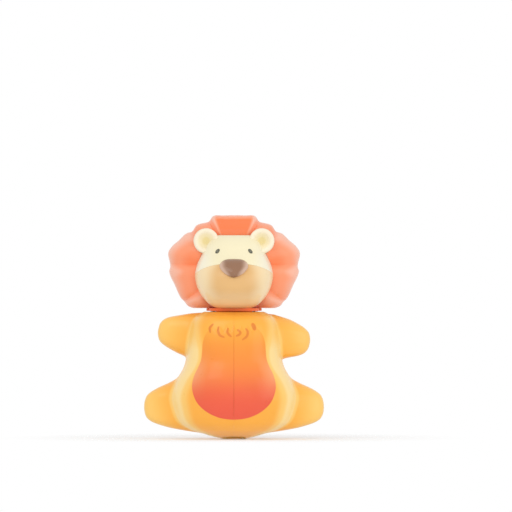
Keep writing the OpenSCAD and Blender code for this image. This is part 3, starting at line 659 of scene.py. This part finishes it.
def belly_pad(side):
    """One half of the inlay: u runs from the seam to its side and v from its foot to its top, and
    its front stands on the torso's skin by a crown that falls off towards every edge."""
    name = "belly_inlay_left" if side < 0 else "belly_inlay_right"
    u = crowd(0, 1, PAD_COLUMNS, [(0, 0.01, 8), (1, 0.03, 4)])
    v = crowd(0, 1, PAD_ROWS, [(0, 0.02, 6), (0.92, 0.08, 3), (1, 0.03, 2)])
    v, u = np.meshgrid(v, u, indexing="ij")
    half = PAD_HALF * through(PAD, 1, v)
    x = SEAM + PAD_IN + u * (half - SEAM - PAD_IN)
    tuft = np.where(x > TUFTS * TUFT_W, 0, 1 - np.abs(2 * (x / TUFT_W % 1) - 1))
    z = PAD_FOOT + PAD_H * v - TUFT_DROP * tuft * v**TUFT_FADE
    skin = skin_depth(x, z)
    crown = (1 - u**CROWN_ACROSS) * (1 - (2 * v - 1) ** CROWN_UP)
    proud = PAD_PROUD + (PAD_RISE - PAD_PROUD) * crown
    front = np.stack([x, skin - proud + turned_in(x - SEAM - PAD_IN, SEAM_EDGE), z], -1)
    back = np.stack([x, skin + PAD_SINK, z], -1)
    rings = np.concatenate([front, back[:, ::-1]], 1)
    return smooth(solid_mesh(name, rings, mirrored=side < 0, folded=True))


def down_the_belly(x, y, z, *way):
    """How far down the belly a place is, from 0 at the top of the inlay to 1 at its foot."""
    return (PAD_FOOT + PAD_H - z) / PAD_H


def painted_belly_highlight(x, y, z, *way):
    """A painted highlight: the coral is painted paler along the belly's widest sides, where it meets the
    yellow.
    """
    half = PAD_HALF * through(PAD, 1, (z - PAD_FOOT) / PAD_H)
    return rise(np.abs(x) / half, 0.66, 0.34) * hump(z, 23.5, 5)


# Orange at the chest to coral red at the foot
CORALS = [
    (0, (253, 176, 62)), (0.1, (250, 166, 56)), (0.22, (246, 150, 52)), (0.41, (248, 140, 56)),
    (0.55, (242, 128, 60)), (0.68, (237, 103, 60)), (0.82, (236, 92, 63)), (1, (239, 94, 70)),
]
BELLY_CORAL = banded("belly_coral", 0.3, "down", CORALS, coat=0.15)
# A painted highlight: paler peach along the belly's widest sides
layer(BELLY_CORAL, "painted_side_highlight", (253, 188, 140), share=0.5)
layer(BELLY_CORAL, "mark", MARK, MARK_SHARE)
for name, side in (("left", -1), ("right", 1)):
    pad = belly_pad(side)
    tint(pad, "down", down_the_belly)
    tint(pad, "painted_side_highlight", painted_belly_highlight)
    tint(pad, "mark", in_a_stroke)
    fit_out(pad, BELLY_CORAL, f"{name}_half", f"belly_{name}")

# Head's back cover and suction cup.
# The cover is a coral dish that spigots into the mane and takes three screws.
# The cup is soft clear vinyl, buttoned through the cover by its knob.

MANE_BACK = -13.0
BACK_R, SPIGOT_R = 15.2, 13.8

MANE_PLAIN, plain_colour = plastic("mane_plain", gloss=0.33, coat=0.15)
plain_colour.default_value = paint(251, 143, 98)
dress("head_back", MANE_PLAIN)


def clear_vinyl():
    """Soft vinyl that light goes through, with a faint blue-green cast and a few long waves."""
    material, tree, shader = bare_material("clear_vinyl")
    shader.inputs["Base Color"].default_value = paint(232, 241, 242)
    shader.inputs["IOR"].default_value = 1.53
    shader.inputs["Transmission Weight"].default_value = 0.85
    where = tree.nodes.new("ShaderNodeTexCoord")
    waves = noise(tree, 260)
    tree.links.new(where.outputs["Object"], waves.inputs["Vector"])
    uneven(tree, shader, waves, roughness=(0.1, 0.24), strength=0.25, height=0.0001)
    return material


dress("suction_cup", clear_vinyl())

# Mane.
# One coral moulding in scalloped lobes round the face, hollow, with soft
# creases between the lobes and a pocket in front that the face is seated in.

MANE_HALF, MANE_DROP = 23.6, 15.8
MANE_FRONT, MANE_RIM = -32.0, -21.0
# How far a lobe stands out, how steeply, and the fullness at which its skin isn't moved
LOBE_RISE, LOBE_STEEP, LOBE_EVEN = 1.3, 0.7, 0.6
# The section's roundness across and forward, and its rear edge: a step off the cover, and the share
# of what the mane reaches beyond it
SECTION_ACROSS, SECTION_FORWARD = 0.9, 0.95
REAR_STEP, REAR_SHARE = 0.5, 0.25
FACE_SEAT = -30.4
# The gap round what is pressed into a pocket, and how far the cutters of pockets reach forward
FIT, POCKET_REACH = 0.1, 20
# Angle in the front view and share of the mane's half width, from the bottom up one side
MANE = [
    (-90, 0.675), (-60, 0.78), (-47, 0.913), (-42, 0.946), (-37.5, 0.943), (-33, 0.956), (-20, 0.953),
    (-7, 0.99), (-2.5, 0.968), (1, 0.972), (9.5, 1.012), (16, 0.976), (23, 0.911), (32.5, 0.86),
    (38, 0.804), (46, 0.815), (59, 0.747), (66.5, 0.792), (78, 0.751), (90, 0.737),
]
# Angles of the creases between the lobes
VALLEYS = np.array([-118, -62, -37, -0.5, 38, 59, 121])
# A power for each lobe: the more it is over 1, the higher the lobe's crest lies above its middle
LEANS = np.array([1, 1.35, 1.5, 1.5, 1.3, 1])
# The scoop in the top lobe: two heights above the head's centre with half its width at each, its
# top and depth, the height over which it deepens, and how soft its sides and its top are
SCOOP_LOW, SCOOP_HIGH, SCOOP_TOP = (10.5, 4.2), (16.5, 6.8), 16.1
SCOOP_DEEP, SCOOP_RUN, SOFT_SIDE, SOFT_TOP = 1.3, 2, 0.42, 0.25
# Columns round the mane and rows of its section, the last turn in front, which the face covers, and
# the hollow's first and last turns
MANE_COLUMNS, MANE_ROWS, LAST_TURN, HOLLOW_TURNS = 300, 140, -64, (88, -44)


def lobe(q):
    """How full a lobe is at angle q: 0 in a crease, rising steeply to 1 between two."""
    i = np.clip(np.searchsorted(VALLEYS, q) - 1, 0, len(VALLEYS) - 2)
    share = np.clip((q - VALLEYS[i]) / (VALLEYS[i + 1] - VALLEYS[i]), 0, 1)
    return np.maximum(np.sin(np.pi * share ** LEANS[i]), 0) ** LOBE_STEEP


def in_the_scoop(x, z):
    """1 in the scoop and 0 outside, soft at its edges, at a place across and above the head's centre."""
    half = np.interp(z, (SCOOP_LOW[0], SCOOP_HIGH[0]), (SCOOP_LOW[1], SCOOP_HIGH[1]))
    sides = 1 / (1 + np.exp((np.abs(x) - half) / SOFT_SIDE))
    return sides / (1 + np.exp((z - SCOOP_TOP) / SOFT_TOP)) * (z > 0)


def scoop_depth(x, z):
    """How deep the scoop is: it runs out to nothing at the top of the face's pocket."""
    return SCOOP_DEEP * in_the_scoop(x, z) * rise(z, SCOOP_LOW[0], SCOOP_RUN)


def mane_rings(q, turns, inset=0.0):
    """The mane's skin at angle q of the front view and at each turn of its section, from 90 behind
    through 0 at the rim towards -90 in front. The section is half a round-cornered box, whose rear
    edge is drawn in towards the cover, and each lobe puffs it forward. The left side is the right
    side's mirror image. An inset gives the hollow's skin, that much further in."""
    turn, q = np.meshgrid(turns, q, indexing="ij")
    bend = np.radians(turn)
    c, s = np.cos(bend) ** SECTION_ACROSS, np.abs(np.sin(bend)) ** SECTION_FORWARD
    r0 = MANE_HALF * through(MANE, 1, q)
    rear = BACK_R + REAR_STEP + REAR_SHARE * (r0 - BACK_R)
    r = np.where(turn < 0, r0 * c, rear + (r0 - rear) * c)
    share = np.cos(bend) ** 0.5 * np.where(turn < 0, 1, 0.5 - turn / 180)
    puff = LOBE_RISE * (lobe(q) - LOBE_EVEN) * share
    y = MANE_RIM + s * (np.where(turn < 0, MANE_FRONT, MANE_BACK) - MANE_RIM) - puff
    y = np.minimum(y, MANE_BACK)
    x, z = r * np.cos(np.radians(q)), np.maximum(r * np.sin(np.radians(q)), -MANE_DROP)
    y = y + scoop_depth(x, z) * (turn < 0)
    if inset:
        shrink = 1 - inset / np.hypot(x, z)
        x, z = x * shrink, z * shrink
        y = np.maximum(np.minimum(y, MANE_BACK - inset), FACE_SEAT + inset)
    right = np.stack([x, y, HEAD_Z + z], -1)
    left = (right * (-1, 1, 1))[:, ::-1]
    return np.concatenate([right[:, :-1], left[:, :-1]], 1)


FACE_FOOT, FACE_H, FACE_HALF, FACE_OUT = 46.7, 26.0, 13.9, 17.0
EAR_X, EAR_Z, EAR_R, EAR_T = 9.9, 70.7, 4.5, 4.8
# Share of the face's height, then of its half width and of its reach
FACE = [
    (0, 0.42, 0.3), (0.02, 0.52, 0.46), (0.06, 0.64, 0.64), (0.13, 0.77, 0.83), (0.24, 0.905, 0.965),
    (0.36, 0.98, 1), (0.47, 1, 0.975), (0.6, 0.945, 0.87), (0.69, 0.87, 0.77), (0.78, 0.79, 0.65),
    (0.88, 0.72, 0.52), (0.96, 0.62, 0.36), (1, 0.5, 0.22),
]
# How far the pocket is carried down past the face's foot, so that it opens below
POCKET_DROP = 2


def face_pocket():
    """The pocket's outline is the face's own, a hair wider, carried straight forward from the seat."""
    z = FACE_FOOT + FACE_H * crowd(0, 1, 90, [(0, 0.03, 3), (1, 0.03, 3)])
    half = FACE_HALF * through(FACE, 1, (z - FACE_FOOT) / FACE_H) + FIT
    z[0] = FACE_FOOT - POCKET_DROP
    across = np.concatenate([half, -half[::-1]])
    up = np.concatenate([z, z[::-1]])
    ring = np.stack([across, np.zeros_like(up), up], -1)
    ends = (FACE_SEAT, FACE_SEAT - POCKET_REACH)
    return solid_mesh("face_pocket", [ring + (0, y, 0) for y in ends])


def round_pocket(name, x, z, radius, y0, y1, steps=96):
    """A plain cylinder that points forward, to cut with."""
    q = np.linspace(0, 2 * np.pi, steps, endpoint=False)
    ring = np.stack([x + radius * np.cos(q), np.zeros(steps), z + radius * np.sin(q)], -1)
    return solid_mesh(name, [ring + (0, y, 0) for y in (y0, y1)])


def mane():
    """The mane's skin, less its hollow, the pockets of the face and the ears, and the bore that the
    cover's spigot goes into."""
    columns = crowd(-90, 90, MANE_COLUMNS, [(v, 2.2, 3) for v in VALLEYS[1:-1]] + [(68, 3, 3)])
    turns = crowd(90, LAST_TURN, MANE_ROWS, [(0, 12, 1.5), (-25, 12, 1), (90, 4, 3)])
    piece = solid_mesh("mane_shell", mane_rings(columns, turns))
    inner = mane_rings(np.linspace(-90, 90, 60), np.linspace(*HOLLOW_TURNS, 30), WALL)
    hollow = solid_mesh("hollow", inner)
    ears = [
        round_pocket("ear_pocket", x, EAR_Z, EAR_R + FIT, FACE_SEAT, FACE_SEAT - POCKET_REACH)
        for x in (-EAR_X, EAR_X)
    ]
    bore = round_pocket("bore", 0, HEAD_Z, SPIGOT_R + FIT, OVER, MANE_BACK - WALL - CLEAR)
    return smooth(carve(piece, hollow, face_pocket(), *ears, bore), angle=24)


def painted_mane_light_and_shade(x, y, z, *way):
    """Painted light and shade: the coral is painted pinker and paler, as painted highlights, towards the
    mane's upper outline, on each lobe's crest just below a crease and on the top lobe's ridges, and
    paler underneath as painted light against the shade there; it is painted deepest, as painted shade,
    beside the face, in the creases and in the scoop."""
    up = z - HEAD_Z
    q = np.degrees(np.arctan2(up, np.abs(x)))
    out = np.hypot(x, up) / (MANE_HALF * through(MANE, 1, q))
    edge = rise(out, 0.66, 0.34) ** 1.5 * (0.4 + 0.4 * rise(up, -12, 14))
    edge = edge * (1 - 0.5 * rise(up, 7, 7))
    crest = sum(hump(q, crease - 7, 4.5) for crease in VALLEYS[2:5]) * rise(out, 0.62, 0.22)
    ridge = hump(q, 65.5, 2.6) * rise(up, 9, 3)
    low = fall(up, -5, 8) + 1.2 * fall(up, -12.8, 2.5)
    crease_and_scoop_shade = 0.25 * (lobe(q) - 0.7) - 0.7 * in_the_scoop(x, up)
    return 0.26 + edge + 0.25 * crest + 0.6 * ridge + 0.25 * low + crease_and_scoop_shade


# Coral from the painted shade in the creases and the scoop to the pink of the painted highlights
MANE_SHADES = [(0, (252, 130, 76)), (0.5, (253, 156, 114)), (1, (252, 188, 162))]
MANE_CORAL = banded("mane_coral", 0.33, "paler", MANE_SHADES, coat=0.15)
mane_piece = mane()
tint(mane_piece, "paler", painted_mane_light_and_shade)
fit_out(mane_piece, MANE_CORAL, "frame", "mane")

# Face, ears and muzzle.
# The cream face with its two dished ears and the tan muzzle below it are two
# mouldings butted along a curved line and pressed into the mane's pocket.

FACE_POWER, FACE_WALL = 2.3, 1.6
FACE_ROWS, FACE_COLUMNS = 130, 200
# Height of the line between face and muzzle at the middle, and its fall at the face's widest
MUZZLE_Z, MUZZLE_FALL = 62.5, 3.4
# The joint's gap, the round of its edges, and the rounds in which its height is found
JOINT, JOINT_EDGE, JOINT_ROUNDS = 0.02, 0.05, 20
# The ear's rim and dish: how far in from its outside and down from its top its skin runs
EAR_SKIN = [
    (0, 1.6), (0, 0.9), (0.2, 0.35), (0.7, 0), (1.3, 0.12), (2.1, 0.5), (3.1, 0.85), (EAR_R, 1),
]


def face_depth(x, z):
    """Depth of the face's front skin at a place across and above the foot."""
    s = (z - FACE_FOOT) / FACE_H
    share = np.minimum(np.abs(x) / (FACE_HALF * through(FACE, 1, s)), 1)
    return FACE_SEAT - FACE_OUT * through(FACE, 2, s) * (1 - share**FACE_POWER) ** (1 / FACE_POWER)


def face_point(q, z):
    """The face's section at height z is the front half of a rounded oval, at angle q from its right."""
    s = (z - FACE_FOOT) / FACE_H
    half, reach = FACE_HALF * through(FACE, 1, s), FACE_OUT * through(FACE, 2, s)
    r = oval(half, reach, q, FACE_POWER)
    return r * np.cos(np.radians(q)), FACE_SEAT - r * np.sin(np.radians(q))


def muzzle_line(x):
    """Height of the line between face and muzzle: level over the nose, falling towards the cheeks."""
    return MUZZLE_Z - MUZZLE_FALL * (np.abs(x) / FACE_HALF) ** 3


def face_part(name, above):
    """The face above the muzzle's line, or the muzzle below it: a sheet whose rows run from that
    line to the top or the foot, with its edge turned in at the line and its wall behind. The
    line's height at each angle is found by putting the last height's point back into its rule."""
    q = crowd(0, 180, FACE_COLUMNS, [(0, 4, 1.5), (180, 4, 1.5)])
    v = crowd(0, 1, FACE_ROWS, [(0, 0.006, 20), (1, 0.05, 3)])
    line = np.full_like(q, MUZZLE_Z)
    for _ in range(JOINT_ROUNDS):
        line = muzzle_line(face_point(q, line)[0]) + (JOINT / 2 if above else -JOINT / 2)
    end = FACE_FOOT + FACE_H if above else FACE_FOOT
    v, q = np.meshgrid(v, q, indexing="ij")
    z = line + (end - line) * v
    x, y = face_point(q, z)
    y = np.minimum(y + turned_in(np.abs(z - line), JOINT_EDGE), FACE_SEAT)
    front = np.stack([x, y, z], -1)
    inner_y = FACE_SEAT + (y - FACE_SEAT) * (1 - FACE_WALL / FACE_OUT)
    inner = np.stack([x * (1 - FACE_WALL / FACE_HALF), inner_y, z], -1)
    points = np.concatenate([front.reshape(-1, 3), inner.reshape(-1, 3)])
    points = (points - (0, 0, HEAD_Z)) / 1000
    rows, columns = z.shape
    sheet = quads(rows, columns, closed=False)
    size = rows * columns
    rim = np.concatenate([
        np.arange(columns), np.arange(1, rows) * columns + columns - 1,
        size - 1 - np.arange(1, columns), (rows - 1 - np.arange(1, rows - 1)) * columns,
    ])
    following = np.roll(rim, -1)
    wall = np.stack([following, rim, rim + size, following + size], -1)
    faces = np.concatenate([sheet, sheet[:, ::-1] + size, wall])
    if above:
        faces = faces[:, ::-1]
    return smooth(new_piece(name, points, faces.tolist()), angle=40)


def turned_forward(name, profile, x, z, seat, steps=128):
    """A profile of radius and height above the seat, turned round an axis that points forward."""
    q = np.linspace(0, 2 * np.pi, steps, endpoint=False)
    rings = []
    for radius, height in profile:
        r = max(radius, CLEAR)
        y = np.full(steps, seat - height)
        rings.append(np.stack([x + r * np.cos(q), y, z + r * np.sin(q)], -1))
    return solid_mesh(name, rings)


def ear(side):
    """A round cup with a soft rolled rim and a shallow dish."""
    name = "ear_left" if side < 0 else "ear_right"
    rim = along((EAR_R, EAR_T) - np.array(EAR_SKIN), 60)
    profile = np.concatenate([[(EAR_R, 0)], rim])
    return smooth(turned_forward(name, profile, side * EAR_X, EAR_Z, FACE_SEAT), angle=50)


def painted_cheek_highlight(x, y, z, *way):
    """A painted highlight: the cream is painted paler where the face turns away to the sides."""
    return rise(np.abs(x), 5, 6.5) ** 1.2


def dish_shade(x, y, z, *way):
    """A soft yellow patch in the middle of each ear."""
    return fall(np.hypot(np.abs(x) - EAR_X, z - EAR_Z), 3.5, 2.6)


def painted_muzzle_light(x, y, z, *way):
    """The tan is painted paler at the cheeks, a painted highlight where the muzzle turns away, and a
    little under the chin, painted light against the shade there; it is also paler along the face's line.
    """
    side = rise(np.abs(x), 5, 6) ** 1.2
    chin = fall(z, 54, 5)
    top = np.exp(-np.maximum(muzzle_line(x) - z, 0) / 1.6) * rise(np.abs(x), 3.5, 4)
    return side * (1 - 0.3 * chin) + 0.65 * chin + 0.45 * top * (1 - side)


# Cream from the middle of the face to the painted highlight at its sides
FACE_SHADES = [(0, (245, 235, 198)), (1, (250, 243, 218))]
FACE_CREAM = banded("face_cream", 0.3, "paler", FACE_SHADES, coat=0.15)
EAR_SHADES = [(0, (248, 236, 210)), (0.6, (240, 224, 180)), (1, (232, 212, 150))]
EAR_CREAM = banded("ear_cream", 0.3, "dish", EAR_SHADES, coat=0.15)
# Tan, running to the paler tan of the painted light at the cheeks and under the chin
MUZZLE_SHADES = [(0, (228, 182, 120)), (1, (248, 222, 176))]
MUZZLE_TAN = banded("muzzle_tan", 0.32, "paler", MUZZLE_SHADES, coat=0.15)
upper = face_part("face_shell", True)
tint(upper, "paler", painted_cheek_highlight)
fit_out(upper, FACE_CREAM, "frame", "face")
for side in (-1, 1):
    cup = ear(side)
    tint(cup, "dish", dish_shade)
    fit_out(cup, EAR_CREAM, "frame", "face")
lower = face_part("muzzle_shell", False)
tint(lower, "paler", painted_muzzle_light)
fit_out(lower, MUZZLE_TAN, "frame", "muzzle")

# Nose and eyes.
# The nose is a brown rounded triangle pegged into the muzzle, and the eyes are
# small dark beads pegged into the face, leaning in towards each other.

# Height of the nose's centre, how far it stands out and how deep its back is sunk, how far its
# summit lies above the centre, and its dome's roundness across and forward
NOSE_Z, NOSE_OUT, NOSE_SINK, NOSE_LIFT = 60.9, 2.3, 1.2, 0.4
NOSE_ACROSS, NOSE_FORWARD = 0.75, 0.85
# Half the eyes' width and length, and how far they stand out and are sunk
EYE_X, EYE_Z, EYE_LEAN = 5.85, 67.05, 43
EYE_WIDE, EYE_LONG, EYE_OUT, EYE_SINK = 0.6, 1.0, 0.42, 0.3
# The nose's outline from the middle of its top down the right side, from its centre
NOSE = [
    (0, 3.4), (2.2, 3.3), (3.35, 3.0), (4.25, 2.5), (4.95, 1.6), (5.15, 0.55), (4.5, -0.65),
    (3.15, -1.95), (1.6, -2.85), (0, -3.3),
]


def nose():
    """Rings of the outline, drawn in and raised as the quarter turn of a dome, on the face's skin."""
    right = along(NOSE, 70)
    outline = np.concatenate([right, (right * (-1, 1))[::-1][1:-1]])[::-1]
    turns = np.radians(crowd(0, 89.5, 50, [(0, 12, 1.5)]))
    dome_rings = [(np.cos(t) ** NOSE_ACROSS, NOSE_OUT * np.sin(t) ** NOSE_FORWARD) for t in turns]
    rings = []
    for size, height in [(1, -NOSE_SINK)] + dome_rings:
        x, z = outline[:, 0] * size, NOSE_Z + NOSE_LIFT * (1 - size) + outline[:, 1] * size
        rings.append(np.stack([x, face_depth(x, z) - height, z], -1))
    return smooth(solid_mesh("nose_button", rings), angle=60)


def eye(side):
    """A long bead, flat behind, that leans in and follows the brow's slope."""
    turn = np.radians(np.linspace(0, 89, 16))
    around = np.linspace(0, 2 * np.pi, 40, endpoint=False)
    lean = np.radians(EYE_LEAN)
    rings = []
    for size, height in [(1, -EYE_SINK)] + [(np.cos(t), EYE_OUT * np.sin(t)) for t in turn]:
        a, b = EYE_WIDE * size * np.cos(around), EYE_LONG * size * np.sin(around)
        x = EYE_X + a * np.cos(lean) - b * np.sin(lean)
        z = EYE_Z + a * np.sin(lean) + b * np.cos(lean)
        rings.append(np.stack([x, face_depth(x, z) - height, z], -1))
    name = "eye_bead_left" if side < 0 else "eye_bead_right"
    return smooth(solid_mesh(name, rings, mirrored=side < 0), angle=70)


def painted_nose_highlight(x, y, z, *way):
    """A painted highlight: the brown is painted lighter where the nose's skin faces its two sides."""
    return rise(np.abs(way[0]), 0.2, 0.5)


def painted_eye_glint(x, y, z, *way):
    """A painted glint: the grey is painted lighter in the middle of the bead, as a highlight on its
    gloss.
    """
    return fall(np.hypot(np.abs(x) - EYE_X, z - EYE_Z), 0.7, 0.7)


# Brown, running to the paler brown of the painted highlight on the nose's sides
NOSE_SHADES = [(0, (148, 108, 82)), (1, (212, 178, 156))]
NOSE_BROWN = banded("nose_brown", 0.24, "paler", NOSE_SHADES, coat=0.2)
# Dark grey, running to the paler grey of the painted glint in the middle
EYE_SHADES = [(0, (86, 86, 72)), (1, (122, 122, 104))]
EYE_GREY = banded("eye_grey", 0.24, "paler", EYE_SHADES, coat=0.25)
nose_piece = nose()
tint(nose_piece, "paler", painted_nose_highlight)
fit_out(nose_piece, NOSE_BROWN, "frame", "nose")
for name, side in (("left", -1), ("right", 1)):
    bead = eye(side)
    tint(bead, "paler", painted_eye_glint)
    fit_out(bead, EYE_GREY, "frame", f"eye_{name}")

# Floor, light and camera.
# A pale floor under the feet, an even pale room with three large soft lamps in
# front, one of which gloss doesn't mirror, and the camera square to the front.

# In metres: how wide the view is at the body's axis, and the camera's place across and up
FIELD_W = 0.1828
CAMERA_X, CAMERA_Z = 0.00785, 0.00283
LENS, SENSOR = 600.0, 36
ROOM_LIGHT, BACKDROP = 0.78, 1.0
# In metres: the body's axis, the floor's height, its rings, and where it fades out
AXIS_Y = CORE_Y / 1000
FLOOR_Z = -0.0626
FLOOR_RINGS, FLOOR_STEPS = (0.001, 0.2, 0.6, 1.6), 96
FADE_FROM, FADE_TO = 0.04, 0.11


def pale_floor():
    """A disc that is plain and pale under the figure and fades into the room further out."""
    q = np.linspace(0, 2 * np.pi, FLOOR_STEPS, endpoint=False)
    across, along_y = np.outer(FLOOR_RINGS, np.cos(q)), np.outer(FLOOR_RINGS, np.sin(q))
    points = np.stack([across, along_y + AXIS_Y, np.full_like(across, FLOOR_Z)], -1).reshape(-1, 3)
    faces = quads(len(FLOOR_RINGS), FLOOR_STEPS).tolist() + [list(range(FLOOR_STEPS))]
    floor = new_piece("floor", points, faces)
    material, tree, shader = bare_material("floor_pale")
    link = tree.links.new
    shader.inputs["Base Color"].default_value = (0.97, 0.97, 0.97, 1)
    shader.inputs["Roughness"].default_value = 0.8
    shader.inputs["Specular IOR Level"].default_value = 0.1
    where = tree.nodes.new("ShaderNodeTexCoord")
    out = tree.nodes.new("ShaderNodeVectorMath")
    out.operation = "LENGTH"
    fade = tree.nodes.new("ShaderNodeMapRange")
    fade.interpolation_type = "SMOOTHSTEP"
    fade.inputs["From Min"].default_value = FADE_FROM
    fade.inputs["From Max"].default_value = FADE_TO
    clear = tree.nodes.new("ShaderNodeBsdfTransparent")
    mix = tree.nodes.new("ShaderNodeMixShader")
    link(where.outputs["Object"], out.inputs[0])
    link(out.outputs["Value"], fade.inputs["Value"])
    link(fade.outputs["Result"], mix.inputs["Fac"])
    link(shader.outputs["BSDF"], mix.inputs[1])
    link(clear.outputs["BSDF"], mix.inputs[2])
    link(mix.outputs["Shader"], tree.nodes["Material Output"].inputs["Surface"])
    floor.data.materials.append(material)


def pale_room():
    """Even light from all round, which the camera, glossy and clear surfaces see as white."""
    world = bpy.data.worlds.new("room")
    bpy.context.scene.world = world
    world.use_nodes = True
    tree = world.node_tree
    link = tree.links.new
    light = tree.nodes["Background"]
    light.inputs["Color"].default_value = (1, 0.995, 0.985, 1)
    light.inputs["Strength"].default_value = ROOM_LIGHT
    backdrop = tree.nodes.new("ShaderNodeBackground")
    backdrop.inputs["Color"].default_value = (1, 1, 1, 1)
    backdrop.inputs["Strength"].default_value = BACKDROP
    path = tree.nodes.new("ShaderNodeLightPath")
    glossy = reckon(tree, "MAXIMUM")
    clear = reckon(tree, "MAXIMUM")
    mix = tree.nodes.new("ShaderNodeMixShader")
    link(path.outputs["Is Camera Ray"], glossy.inputs[0])
    link(path.outputs["Is Glossy Ray"], glossy.inputs[1])
    link(glossy.outputs[0], clear.inputs[0])
    link(path.outputs["Is Transmission Ray"], clear.inputs[1])
    link(clear.outputs[0], mix.inputs["Fac"])
    link(light.outputs["Background"], mix.inputs[1])
    link(backdrop.outputs["Background"], mix.inputs[2])
    link(mix.outputs["Shader"], tree.nodes["World Output"].inputs["Surface"])


def lamp(name, place, target, size, watts, mirrored=True):
    """A large square lamp that points from its place to a target. Glossy skins mirror it, or not."""
    data = bpy.data.lights.new(name, "AREA")
    data.size = size
    data.energy = watts
    thing = bpy.data.objects.new(name, data)
    thing.location = place
    thing.visible_glossy = mirrored
    thing.rotation_euler = (Vector(target) - Vector(place)).to_track_quat("-Z", "Y").to_euler()
    bpy.context.scene.collection.objects.link(thing)


pale_floor()
pale_room()
lamp("key", (-0.45, -0.8, 0.65), (0, AXIS_Y, -0.02), size=0.6, watts=1.7)
lamp("fill", (0.7, -0.6, 0.1), (0, AXIS_Y, -0.02), size=0.6, watts=0.9)
lamp("low_front", (0.1, -1.2, 0.0), (0, AXIS_Y, -0.03), size=0.5, watts=2.2, mirrored=False)

view_data = bpy.data.cameras.new("view")
view_data.lens = LENS
view_data.sensor_width = SENSOR
view = bpy.data.objects.new("view", view_data)
view.location = (CAMERA_X, AXIS_Y - FIELD_W * LENS / SENSOR, CAMERA_Z)
view.rotation_euler = (np.pi / 2, 0, 0)
bpy.context.scene.collection.objects.link(view)
bpy.context.scene.camera = view
bpy.context.scene.view_settings.view_transform = "Standard"
